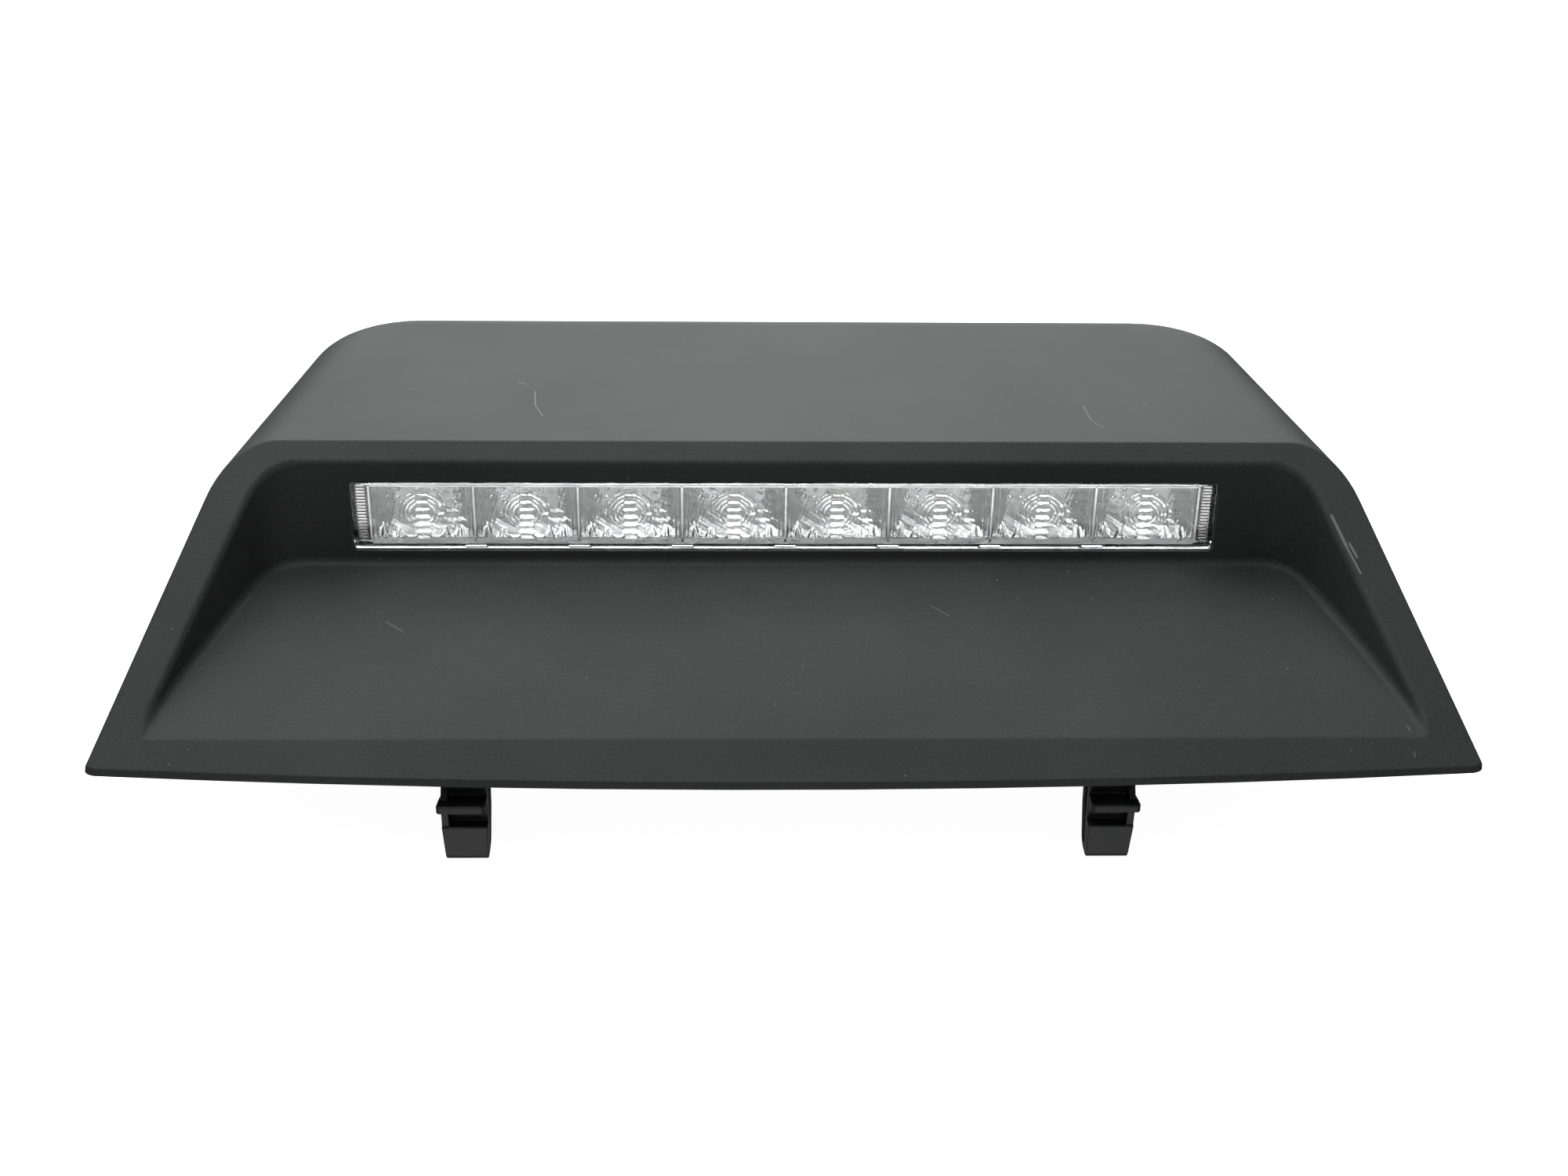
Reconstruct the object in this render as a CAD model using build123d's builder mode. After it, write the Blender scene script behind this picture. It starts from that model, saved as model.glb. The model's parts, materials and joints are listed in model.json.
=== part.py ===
"""Third brake light for a rear parcel shelf.

A moulded hood leans back from a thin front lip. A recess in its sloping front holds a clear lens,
and a sealed lamp with eight light-emitting diodes is screwed in behind it. Two snap latches under
the lip hold the front down, and two ears inside the rear edge take screws.

Frame: millimetres, +Z up, +Y towards the rear, origin at the middle of the lip on the shelf.
"""
import os
from math import cos, radians, sin, tan

from build123d import *

os.makedirs("parts", exist_ok=True)

# ---- hood ---------------------------------------------------------------------------------------
FRONT_WIDTH = 312.0  # across the front corners, at the shelf
HOOD_DEPTH = 163.0  # front corners to rear edge, at the shelf
BROW = 5.28  # lens's upper edge to the rim, up the back wall
TOP_BAND = 3.67  # how much higher the hood's top is than the rim's inner edge
WALL = 2.2
LIP_BOW = 2.8  # how far the middle of the lip stands ahead of its corners
LIP_HEIGHT = 1.8  # height of the lip's front face
LIP_CORNER = 3.0
RIM_SLOPE = 40.0  # degrees between the sloping rim and the shelf
SIDE_DRAFT = 17.0  # degrees the sides and rear lean inward
SIDE_SPLAY = 0.157  # how much each side closes in per millimetre towards the rear
SHOULDER = 14.0  # radius between the top and the sides
REAR_CORNER = 30.0  # radius of the two rear corners
RIM_EDGE = 0.9  # radius along the rim's outer edge
LIP_EDGE = 0.5  # radius along the lip's upper edge
LEAD = 30.0  # how far the blank stands out all round before it is trimmed

# ---- recess -------------------------------------------------------------------------------------
RECESS_SIDE = 19.1  # lens's end to where the side and back walls would meet
RECESS_SPLAY = 0.44  # how much each side wall opens per millimetre towards the front
RECESS_CORNER = 12.0
CREASE = 5.1  # where the floor leaves the sloping rim
FLOOR_BACK_HEIGHT = 23.3
FLOOR_CROWN = 1.5
FLOOR_FILLET = 2.0
RIM_ROUND = 1.9  # radius from the rim into the recess

# ---- lens and the lamp behind it ----------------------------------------------------------------
CELLS = 8
LENS_INSET = 53.5  # front corner to the lens's end
LENS_END = 4.1  # blank end of the lens outside the row of cells
LENS_HEIGHT = 17.5
LENS_SILL = 3.55  # recess's floor to the lens's lower edge
LENS_GAP = 0.35
LENS_SET_BACK = 0.4
LENS_PANE = 2.4
LENS_CORNER = 0.8
DIVIDER_WIDTH = 1.0
DIVIDER_DEPTH = 0.6
SEAL = 0.5
SEAL_WIDTH = 2.2
FLANGE = 1.8
LAMP_END = 5.5  # how far the housing reaches past each end of the lens
LAMP_OVERLAP = 3.25  # how far it reaches above and below the lens
LAMP_DEPTH = 24.5
LAMP_WALL = 2.0
LAMP_CORNER = 2.0
LAYER_GAP = 0.15
SIDE_GAP = 0.3
OPTIC = 2.5
OPTIC_RING = 0.5
REFLECTOR_END = 1.2
REFLECTOR_DEPTH = 5.8
REFLECTOR_BASE = 0.8
CELL_WALL = 1.0
CELL_SLOPE = 42.0  # degrees the cell walls lean in towards the diode
PEG_RADIUS = 1.0
PEG_LENGTH = 3.2
PEG_HEIGHT = 6.0  # above the lens's middle
BOARD = 1.6
BOARD_SCREW_INSET = 3.1  # housing's inner end wall to the screw

# ---- electronics --------------------------------------------------------------------------------
DIODE_BODY = 3.5
DIODE_BODY_HEIGHT = 0.9
DOME_RADIUS = 1.25
WINDOW = 4.4
RESISTOR = (3.2, 1.6, 0.6)
RESISTOR_HEIGHT = -4.5
PROTECTION = (4.6, 2.7, 2.2)
PROTECTION_CELL = 1.625  # places along the board, in cells from its middle
REGULATOR = (6.5, 6.1, 2.3)
REGULATOR_CELL = 1.0
CAPACITOR_RADIUS = 3.15
CAPACITOR_LENGTH = 7.7
CAPACITOR_CELL = -1.0
CONNECTOR_CELL = 2.5
CONNECTOR = (16.0, 11.0)
CONNECTOR_REACH = 12.0
CONNECTOR_WALL = 1.8
CONNECTOR_BASE = 1.6
CONNECTOR_FLANGE = 2.0
KEY = (3.0, 1.2)
PINS = 3
PIN_PITCH = 3.5
PIN = 0.8
PIN_REACH = 8.0
PIN_HEIGHT = -1.9  # the row of pins sits below the lens's middle

# ---- screws -------------------------------------------------------------------------------------
LAMP_SCREW_OUT = 5.5  # housing's end to the screw
BOSS_RADIUS = 3.6
BOSS_LENGTH = 7.0
SCREW_RADIUS = 1.4
SCREW_HEAD = 3.0
SCREW_HEAD_HEIGHT = 2.0
SCREW_LENGTH = 7.0
SCREW_PLAY = 0.3
THREAD_PLAY = 0.05
CROSS_ARM = 0.6
PACKAGE_EDGE = 0.4  # bevel or radius on the top of a component
EAR_THICK = 2.0
EAR_HEIGHT = 9.0
EAR_REACH = 4.2
BOARD_SCREW_RADIUS = 1.1
BOARD_SCREW_HEAD = 2.0
BOARD_SCREW_HEAD_HEIGHT = 1.3
BOARD_SCREW_LENGTH = 6.0
STANDOFF_RADIUS = 2.6

# ---- rear ears ----------------------------------------------------------------------------------
REAR_EAR_INSET = 6.41  # how far the ear's middle stands in from where the corner starts
REAR_EAR_WIDTH = 18.0
REAR_EAR_REACH = 18.0
REAR_EAR_THICK = 2.6
REAR_HOLE_RADIUS = 2.75

# ---- snap latches -------------------------------------------------------------------------------
LATCH_X = 73.0
LATCH_WIDTH = 10.3
LATCH_WALL = 2.0
LATCH_FOOT_Y = 12.2
LATCH_FOOT_WIDTH = 12.4
LATCH_FOOT_HEIGHT = 3.6
LATCH_FOOT_THICK = 3.0
BACK_LEG_Y = 9.4  # where the back leg runs into the bend
HINGE_Y = 5.0
HINGE_Z = -22.3
KNUCKLE_RADIUS = 1.25
KNUCKLE_PLAY = 0.06
TONGUE_TOP = -2.2
BARB_REACH = 3.0
BARB_FOOT_REACH = 1.6
BARB_FOOT_DROP = 1.0  # how far the barb's foot reaches below the hinge
BARB_LEDGE = -14.7
BARB_EDGE = 0.5
PANEL_GAP = 4.8
PLATE_REACH = 4.0
PLATE_THICK = 1.9
PLATE_SIDE = 0.8  # how far the plate's outer corner stands past the tongue
GUSSET_WIDTH = 1.6
SEAT_WALL = 1.8
SEAT_PLAY = 0.05

# ---- values that follow from the sizes above ----------------------------------------------------
slope = radians(RIM_SLOPE)
rim_rise = tan(slope)
front_half = FRONT_WIDTH / 2
rear_half = front_half - HOOD_DEPTH * SIDE_SPLAY
lip_drop = LIP_BOW * rim_rise + LIP_HEIGHT
lens_width = FRONT_WIDTH - 2 * LENS_INSET
cell_pitch = (lens_width - 2 * LENS_END) / CELLS
lens_mid = FLOOR_BACK_HEIGHT + LENS_SILL + LENS_HEIGHT / 2
rim_inner_height = lens_mid + LENS_HEIGHT / 2 + BROW
hood_height = rim_inner_height + TOP_BAND
recess_back = (rim_inner_height - LIP_HEIGHT) / rim_rise
recess_half = lens_width / 2 + RECESS_SIDE
lamp_width = lens_width + 2 * LAMP_END
lamp_height = LENS_HEIGHT + 2 * LAMP_OVERLAP
lens_face = recess_back + LENS_SET_BACK
wall_rear = recess_back + WALL
flange_face = wall_rear + SEAL
flange_rear = flange_face + FLANGE
lamp_rear = flange_rear + LAMP_DEPTH
optic_face = flange_rear + LAYER_GAP
optic_rear = optic_face + OPTIC
reflector_face = optic_rear + LAYER_GAP
reflector_rear = reflector_face + REFLECTOR_DEPTH
board_face = reflector_rear + LAYER_GAP
board_rear = board_face + BOARD
boss_rear = wall_rear + BOSS_LENGTH
lamp_inner_half = lamp_width / 2 - LAMP_WALL
lamp_screw_x = lamp_width / 2 + LAMP_SCREW_OUT
layer_height = lamp_height - 2 * (LAMP_WALL + SIDE_GAP)
board_half = lamp_inner_half - SIDE_GAP
board_screw_x = lamp_inner_half - BOARD_SCREW_INSET
peg_span = cell_pitch * (CELLS - 2)
connector_x = CONNECTOR_CELL * cell_pitch
rear_ear_x = rear_half - REAR_CORNER - REAR_EAR_INSET
rear_ear_y = HOOD_DEPTH - REAR_EAR_REACH / 2 - WALL
cavity_base = lamp_rear + CONNECTOR_BASE
pin_height = lens_mid + PIN_HEIGHT


def save(part: Part, name: str) -> None:
    """Label a finished piece and write it under its own name."""
    part.label = name
    export_step(part, f"parts/{name}.step")


def rim_plane(depth: float) -> Plane:
    """Plane of the sloping rim, sunk below its surface by a depth."""
    normal = Vector(0, -sin(slope), cos(slope))
    return Plane(origin=Vector(0, 0, LIP_HEIGHT) - normal * depth, x_dir=(1, 0, 0), z_dir=normal)


def facing_rear(y: float, x: float = 0.0, z: float = lens_mid) -> Plane:
    """Plane across the lamp whose normal points to the rear, with sketch y upward."""
    return Plane(origin=(x, y, z), x_dir=(-1, 0, 0), z_dir=(0, 1, 0))


def cell_centres() -> GridLocations:
    """One place for each light-emitting diode, in a row."""
    return GridLocations(cell_pitch, 0, CELLS, 1)


def lean_plane(foot: Vector, outward: Vector, depth: float) -> Plane:
    """Plane of a side or of the rear, leaning inward from its foot, sunk by a depth."""
    draft = radians(SIDE_DRAFT)
    normal = outward.normalized() * cos(draft) + Vector(0, 0, sin(draft))
    return Plane(origin=foot - normal * depth, z_dir=normal)


def hood_form(inset: float) -> Part:
    """Solid inside the hood's skin, moved in by a distance; 0 gives the outside."""
    with BuildPart() as form:
        with BuildSketch(Plane.XY.offset(-lip_drop)):
            with Locations((0, HOOD_DEPTH / 2)):
                Rectangle(FRONT_WIDTH + 2 * LEAD, HOOD_DEPTH + 2 * LEAD)
        extrude(amount=hood_height + lip_drop - inset)
        for foot, outward in (
            (Vector(0, HOOD_DEPTH, 0), Vector(0, 1, 0)),
            (Vector(-front_half, 0, 0), Vector(-1, SIDE_SPLAY, 0)),
            (Vector(front_half, 0, 0), Vector(1, SIDE_SPLAY, 0)),
        ):
            split(bisect_by=lean_plane(foot, outward, inset), keep=Keep.BOTTOM)
        uprights = form.edges().filter_by_position(Axis.Z, hood_height / 4, hood_height * 3 / 4)
        fillet(uprights.sort_by(Axis.Y)[-2:], radius=REAR_CORNER - inset)
        top_edges = form.faces().sort_by(Axis.Z)[-1].edges().sort_by(Axis.Y)
        fillet(top_edges[1:], radius=SHOULDER - inset)
        with BuildSketch(Plane.XY.offset(-lip_drop)) as footprint:
            with BuildLine():
                bow = ThreePointArc((-front_half, 0), (0, -LIP_BOW), (front_half, 0))
                Polyline(bow @ 1, (front_half, HOOD_DEPTH), (-front_half, HOOD_DEPTH), bow @ 0)
            make_face()
            fillet(footprint.vertices().sort_by(Axis.Y)[:2], radius=LIP_CORNER)
        extrude(amount=hood_height + lip_drop, mode=Mode.INTERSECT)
        split(bisect_by=rim_plane(inset), keep=Keep.BOTTOM)
        with BuildSketch(Plane.YZ) as below:
            with BuildLine():
                Polyline(
                    (0, 0), (2 * HOOD_DEPTH, 0), (2 * HOOD_DEPTH, -LEAD), (-LEAD, -LEAD * rim_rise),
                    close=True,
                )
            make_face()
        extrude(amount=FRONT_WIDTH, both=True, mode=Mode.SUBTRACT)
    return form.part


def recess_form(grow: float) -> Part:
    """Space above the recess's floor and between its walls, grown by a distance."""
    crease_height = LIP_HEIGHT + CREASE * rim_rise
    ceiling = hood_height + LEAD
    nose = recess_half + recess_back * RECESS_SPLAY
    with BuildPart() as form:
        with BuildSketch() as plan:
            with BuildLine():
                Polyline(
                    (-nose, 0), (nose, 0), (recess_half, recess_back), (-recess_half, recess_back),
                    close=True,
                )
            make_face()
            fillet(plan.vertices().sort_by(Axis.Y)[-2:], radius=RECESS_CORNER)
            if grow:
                offset(amount=grow, kind=Kind.INTERSECTION)
        extrude(amount=ceiling)
        with BuildSketch(Plane.YZ) as section:
            with BuildLine():
                floor = SagittaArc(
                    (CREASE, crease_height), (recess_back, FLOOR_BACK_HEIGHT), FLOOR_CROWN
                )
                Polyline(
                    floor @ 1, (recess_back, ceiling), (-LEAD, ceiling), (-LEAD, crease_height),
                    floor @ 0,
                )
            make_face()
            if grow:
                offset(amount=grow, kind=Kind.INTERSECTION)
        extrude(amount=FRONT_WIDTH, both=True, mode=Mode.INTERSECT)
        floor_face = form.faces().filter_by(GeomType.CYLINDER).sort_by(Axis.Z)[0]
        fillet(floor_face.edges().sort_by(Axis.Y)[1:], radius=FLOOR_FILLET + grow)
    return form.part


hood_outside = hood_form(0)
hood_inside = hood_form(WALL)
recess_inside = recess_form(0)
recess_outside = recess_form(WALL)

# ---- hood: the space under its skin, with everything that is moulded into it -------------------
with BuildPart() as hollow:
    add(hood_inside)
    add(recess_outside, mode=Mode.SUBTRACT)
    with BuildSketch(facing_rear(recess_back)) as bosses:
        with GridLocations(lamp_screw_x * 2, 0, 2, 1):
            Circle(BOSS_RADIUS)
    extrude(amount=boss_rear - recess_back, mode=Mode.SUBTRACT)
    with BuildSketch() as seats:
        with Locations((0, LATCH_FOOT_Y)):
            with GridLocations(LATCH_X * 2, 0, 2, 1):
                Rectangle(
                    LATCH_FOOT_WIDTH + 2 * SEAT_WALL, LATCH_FOOT_THICK + 2 * SEAT_WALL
                )
    extrude(amount=FLOOR_BACK_HEIGHT, mode=Mode.SUBTRACT)
    with BuildSketch() as rear_ears:
        with Locations((0, rear_ear_y)):
            with GridLocations(rear_ear_x * 2, 0, 2, 1):
                Rectangle(REAR_EAR_WIDTH, REAR_EAR_REACH)
    extrude(amount=REAR_EAR_THICK, mode=Mode.SUBTRACT)

with BuildPart() as cover:
    add(hood_outside)
    rim_face = cover.faces().filter_by(rim_plane(0)).sort_by(SortBy.AREA)[-1]
    lip_edges = rim_face.edges().filter_by_position(Axis.Y, -LIP_BOW, LIP_CORNER)
    fillet(rim_face.edges() - lip_edges, radius=RIM_EDGE)
    rim_face = cover.faces().filter_by(rim_plane(0)).sort_by(SortBy.AREA)[-1]
    fillet(rim_face.edges().filter_by_position(Axis.Y, -LIP_BOW, LIP_CORNER), radius=LIP_EDGE)
    add(hollow.part, mode=Mode.SUBTRACT)
    add(recess_inside, mode=Mode.SUBTRACT)
    rim_face = cover.faces().filter_by(rim_plane(0)).sort_by(SortBy.AREA)[-1]
    recess_edges = rim_face.inner_wires()[0].edges()
    fillet(recess_edges.filter_by_position(Axis.Y, recess_back / 3, recess_back), radius=RIM_ROUND)
    with BuildSketch(facing_rear(recess_back)) as window:
        RectangleRounded(
            lens_width + 2 * LENS_GAP, LENS_HEIGHT + 2 * LENS_GAP, LENS_CORNER + LENS_GAP
        )
    extrude(amount=WALL, both=True, mode=Mode.SUBTRACT)
    with BuildSketch(facing_rear(boss_rear)) as pilot_holes:
        with GridLocations(lamp_screw_x * 2, 0, 2, 1):
            Circle(SCREW_RADIUS + THREAD_PLAY)
    extrude(amount=-SCREW_LENGTH, mode=Mode.SUBTRACT)
    with BuildSketch() as seat_slots:
        with Locations((0, LATCH_FOOT_Y)):
            with GridLocations(LATCH_X * 2, 0, 2, 1):
                Rectangle(
                    LATCH_FOOT_WIDTH + 2 * SEAT_PLAY, LATCH_FOOT_THICK + 2 * SEAT_PLAY
                )
    extrude(amount=LATCH_FOOT_HEIGHT + SEAT_PLAY, mode=Mode.SUBTRACT)
    with BuildSketch() as rear_holes:
        with Locations((0, rear_ear_y)):
            with GridLocations(rear_ear_x * 2, 0, 2, 1):
                Circle(REAR_HOLE_RADIUS)
    extrude(amount=REAR_EAR_THICK, mode=Mode.SUBTRACT)

# ---- lamp: clear lens with a divider behind each joint between cells ----------------------------
with BuildPart() as outer_lens:
    with BuildSketch(facing_rear(lens_face)) as pane:
        RectangleRounded(lens_width, LENS_HEIGHT, LENS_CORNER)
    extrude(amount=flange_face - lens_face)
    with BuildSketch(facing_rear(flange_face)) as flange:
        RectangleRounded(lamp_width, lamp_height, LAMP_CORNER)
    extrude(amount=FLANGE)
    with BuildSketch(facing_rear(flange_rear)) as lens_hollow:
        RectangleRounded(lens_width - 2 * LENS_PANE, LENS_HEIGHT - 2 * LENS_PANE, LENS_CORNER)
    extrude(amount=lens_face + LENS_PANE - flange_rear, mode=Mode.SUBTRACT)
    with BuildSketch(facing_rear(lens_face + LENS_PANE)) as dividers:
        with GridLocations(cell_pitch, 0, CELLS + 1, 1):
            Rectangle(DIVIDER_WIDTH, LENS_HEIGHT - 2 * LENS_PANE)
    extrude(amount=DIVIDER_DEPTH)
save(outer_lens.part, "outer_lens")

# ---- foam seal between the lens's flange and the hood -------------------------------------------
with BuildPart() as lens_seal:
    with BuildSketch(facing_rear(wall_rear)) as seal_ring:
        RectangleRounded(
            lens_width + 2 * (LENS_GAP + SEAL_WIDTH), LENS_HEIGHT + 2 * (LENS_GAP + SEAL_WIDTH),
            LENS_CORNER + SEAL_WIDTH,
        )
        RectangleRounded(
            lens_width + 2 * LENS_GAP, LENS_HEIGHT + 2 * LENS_GAP, LENS_CORNER + LENS_GAP,
            mode=Mode.SUBTRACT,
        )
    extrude(amount=SEAL)
save(lens_seal.part, "lens_seal")

# ---- inner lens: one ring of relief in front of each diode --------------------------------------
with BuildPart() as optic_bar:
    with BuildSketch(facing_rear(optic_face)) as bar:
        RectangleRounded(2 * board_half, layer_height, LENS_CORNER)
    extrude(amount=OPTIC)
    with BuildSketch(facing_rear(optic_face)) as rings:
        with cell_centres():
            Circle(LENS_HEIGHT / 3)
            Circle(LENS_HEIGHT / 5, mode=Mode.SUBTRACT)
    extrude(amount=OPTIC_RING, mode=Mode.SUBTRACT)
save(optic_bar.part, "optic_bar")

# ---- reflector: a bright tray with a sloping-walled cell round each diode -----------------------
with BuildPart() as reflector:
    with BuildSketch(facing_rear(reflector_face)) as tray:
        Rectangle(CELLS * cell_pitch + 2 * REFLECTOR_END, layer_height)
    extrude(amount=REFLECTOR_DEPTH)
    with BuildSketch(facing_rear(reflector_face)) as mouths:
        with cell_centres():
            Rectangle(cell_pitch - CELL_WALL, layer_height - 2 * CELL_WALL)
    extrude(amount=REFLECTOR_DEPTH - REFLECTOR_BASE, taper=CELL_SLOPE, mode=Mode.SUBTRACT)
    with BuildSketch(facing_rear(reflector_rear)) as windows:
        with cell_centres():
            Rectangle(WINDOW, WINDOW)
    extrude(amount=-REFLECTOR_DEPTH, mode=Mode.SUBTRACT)
    with BuildSketch(facing_rear(reflector_rear)) as pegs:
        with Locations((0, PEG_HEIGHT)):
            with GridLocations(peg_span, 0, 2, 1):
                Circle(PEG_RADIUS)
    extrude(amount=PEG_LENGTH)
save(reflector.part, "reflector")

# ---- circuit board, with holes for the reflector's pegs, the screws and the pins ----------------
with BuildPart() as circuit_board:
    with BuildSketch(facing_rear(board_face)) as board:
        RectangleRounded(2 * board_half, layer_height, LENS_CORNER)
        with Locations((0, PEG_HEIGHT)):
            with GridLocations(peg_span, 0, 2, 1):
                Circle(PEG_RADIUS + THREAD_PLAY, mode=Mode.SUBTRACT)
        with GridLocations(2 * board_screw_x, 0, 2, 1):
            Circle(BOARD_SCREW_RADIUS + SCREW_PLAY, mode=Mode.SUBTRACT)
        with Locations((-connector_x, PIN_HEIGHT)):
            with GridLocations(PIN_PITCH, 0, PINS, 1):
                Rectangle(PIN + 2 * THREAD_PLAY, PIN + 2 * THREAD_PLAY, mode=Mode.SUBTRACT)
    extrude(amount=BOARD)
save(circuit_board.part, "circuit_board")

# ---- light-emitting diodes: a white body and a clear dome on each -------------------------------
with BuildPart() as led_bodies:
    with BuildSketch(facing_rear(board_face)) as body_outline:
        with cell_centres():
            Rectangle(DIODE_BODY, DIODE_BODY)
    extrude(amount=-DIODE_BODY_HEIGHT)
save(led_bodies.part, "led_bodies")

with BuildPart() as led_domes:
    with Locations(facing_rear(board_face - DIODE_BODY_HEIGHT)):
        with cell_centres():
            Sphere(DOME_RADIUS)
    split(bisect_by=Plane.XZ.offset(DIODE_BODY_HEIGHT - board_face), keep=Keep.TOP)
save(led_domes.part, "led_domes")

# ---- parts on the back of the board -------------------------------------------------------------
with BuildPart() as chip_resistors:
    with BuildSketch(facing_rear(board_rear)) as chips:
        with Locations((0, RESISTOR_HEIGHT)):
            with cell_centres():
                Rectangle(RESISTOR[0], RESISTOR[1])
    extrude(amount=RESISTOR[2])
save(chip_resistors.part, "chip_resistors")

with BuildPart() as protection_diode:
    with BuildSketch(facing_rear(board_rear, x=PROTECTION_CELL * cell_pitch)) as protection_outline:
        Rectangle(PROTECTION[0], PROTECTION[1])
    extrude(amount=PROTECTION[2])
    chamfer(protection_diode.faces().sort_by(Axis.Y)[-1].edges(), length=PACKAGE_EDGE)
save(protection_diode.part, "protection_diode")

with BuildPart() as regulator:
    with BuildSketch(facing_rear(board_rear, x=REGULATOR_CELL * cell_pitch)) as regulator_outline:
        Rectangle(REGULATOR[0], REGULATOR[1])
    extrude(amount=REGULATOR[2])
    chamfer(regulator.faces().sort_by(Axis.Y)[-1].edges(), length=PACKAGE_EDGE)
save(regulator.part, "regulator")

with BuildPart() as capacitor:
    with BuildSketch(facing_rear(board_rear, x=CAPACITOR_CELL * cell_pitch)) as can:
        Circle(CAPACITOR_RADIUS)
    extrude(amount=CAPACITOR_LENGTH)
    fillet(capacitor.faces().sort_by(Axis.Y)[-1].edges(), radius=PACKAGE_EDGE)
save(capacitor.part, "capacitor")

# ---- housing: a tray welded to the lens, with ears for its screws and posts for the board -------
with BuildPart() as lamp_housing:
    with BuildSketch(facing_rear(flange_rear)) as tub:
        RectangleRounded(lamp_width, lamp_height, LAMP_CORNER)
    extrude(amount=LAMP_DEPTH)
    with BuildSketch(facing_rear(flange_rear)) as tub_inside:
        Rectangle(2 * lamp_inner_half, lamp_height - 2 * LAMP_WALL)
    extrude(amount=LAMP_DEPTH - LAMP_WALL, mode=Mode.SUBTRACT)
    with BuildSketch(facing_rear(boss_rear)) as ears:
        RectangleRounded(2 * (lamp_screw_x + EAR_REACH), EAR_HEIGHT, LAMP_CORNER)
        Rectangle(2 * lamp_inner_half, EAR_HEIGHT, mode=Mode.SUBTRACT)
        with GridLocations(lamp_screw_x * 2, 0, 2, 1):
            Circle(SCREW_RADIUS + SCREW_PLAY, mode=Mode.SUBTRACT)
    extrude(amount=EAR_THICK)
    with BuildSketch(facing_rear(board_rear)) as posts:
        with GridLocations(2 * board_screw_x, 0, 2, 1):
            Circle(STANDOFF_RADIUS)
    extrude(amount=lamp_rear - LAMP_WALL - board_rear)
    with BuildSketch(facing_rear(board_rear)) as post_holes:
        with GridLocations(2 * board_screw_x, 0, 2, 1):
            Circle(BOARD_SCREW_RADIUS + THREAD_PLAY)
    extrude(amount=BOARD_SCREW_LENGTH, mode=Mode.SUBTRACT)
    with BuildSketch(facing_rear(lamp_rear, x=connector_x)) as socket_hole:
        Rectangle(
            CONNECTOR[0] - 2 * CONNECTOR_WALL + 2 * THREAD_PLAY,
            CONNECTOR[1] - 2 * CONNECTOR_WALL + 2 * THREAD_PLAY,
        )
    extrude(amount=-LAMP_WALL, mode=Mode.SUBTRACT)
save(lamp_housing.part, "lamp_housing")

# ---- connector: socket on the housing's back, and its pins from the board -----------------------
with BuildPart() as connector_socket:
    with BuildSketch(facing_rear(lamp_rear, x=connector_x)) as socket_outline:
        RectangleRounded(CONNECTOR[0], CONNECTOR[1], LENS_CORNER)
        with Locations((0, CONNECTOR[1] / 2)):
            Rectangle(KEY[0], 2 * KEY[1])
    extrude(amount=CONNECTOR_REACH)
    with BuildSketch(facing_rear(lamp_rear, x=connector_x)) as socket_flange:
        RectangleRounded(
            CONNECTOR[0] + 2 * CONNECTOR_FLANGE, CONNECTOR[1] + 2 * CONNECTOR_FLANGE, LENS_CORNER
        )
    extrude(amount=CONNECTOR_BASE)
    with BuildSketch(facing_rear(lamp_rear, x=connector_x)) as socket_plug:
        Rectangle(CONNECTOR[0] - 2 * CONNECTOR_WALL, CONNECTOR[1] - 2 * CONNECTOR_WALL)
    extrude(amount=-LAMP_WALL)
    with BuildSketch(facing_rear(cavity_base, x=connector_x)) as socket_cavity:
        Rectangle(CONNECTOR[0] - 2 * CONNECTOR_WALL, CONNECTOR[1] - 2 * CONNECTOR_WALL)
    extrude(amount=CONNECTOR_REACH, mode=Mode.SUBTRACT)
    with BuildSketch(facing_rear(lamp_rear, x=connector_x, z=pin_height)) as pin_holes:
        with GridLocations(PIN_PITCH, 0, PINS, 1):
            Rectangle(PIN + 2 * THREAD_PLAY, PIN + 2 * THREAD_PLAY)
    extrude(amount=CONNECTOR_REACH, both=True, mode=Mode.SUBTRACT)
save(connector_socket.part, "connector_socket")

with BuildPart() as connector_pins:
    with BuildSketch(facing_rear(board_face, x=connector_x, z=pin_height)) as pin_outline:
        with GridLocations(PIN_PITCH, 0, PINS, 1):
            Rectangle(PIN, PIN)
    extrude(amount=cavity_base + PIN_REACH - board_face)
    chamfer(connector_pins.faces().filter_by(Axis.Y).group_by(Axis.Y)[-1].edges(), length=PIN / 4)
save(connector_pins.part, "connector_pins")

# ---- screws: two hold the housing to the hood, two hold the board in the housing ----------------
with BuildPart() as housing_screws:
    head_face = boss_rear + EAR_THICK
    with BuildSketch(facing_rear(head_face)) as housing_heads:
        with GridLocations(lamp_screw_x * 2, 0, 2, 1):
            Circle(SCREW_HEAD)
    extrude(amount=SCREW_HEAD_HEIGHT)
    fillet(housing_screws.faces().filter_by(Axis.Y).group_by(Axis.Y)[-1].edges(), radius=PIN)
    with BuildSketch(facing_rear(head_face)) as housing_shanks:
        with GridLocations(lamp_screw_x * 2, 0, 2, 1):
            Circle(SCREW_RADIUS)
    extrude(amount=-(SCREW_LENGTH + EAR_THICK - SCREW_PLAY))
    with BuildSketch(facing_rear(head_face + SCREW_HEAD_HEIGHT)) as housing_crosses:
        with GridLocations(lamp_screw_x * 2, 0, 2, 1):
            Rectangle(SCREW_HEAD, CROSS_ARM)
            Rectangle(CROSS_ARM, SCREW_HEAD)
    extrude(amount=-SCREW_HEAD_HEIGHT / 2, mode=Mode.SUBTRACT)
save(housing_screws.part, "housing_screws")

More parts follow.
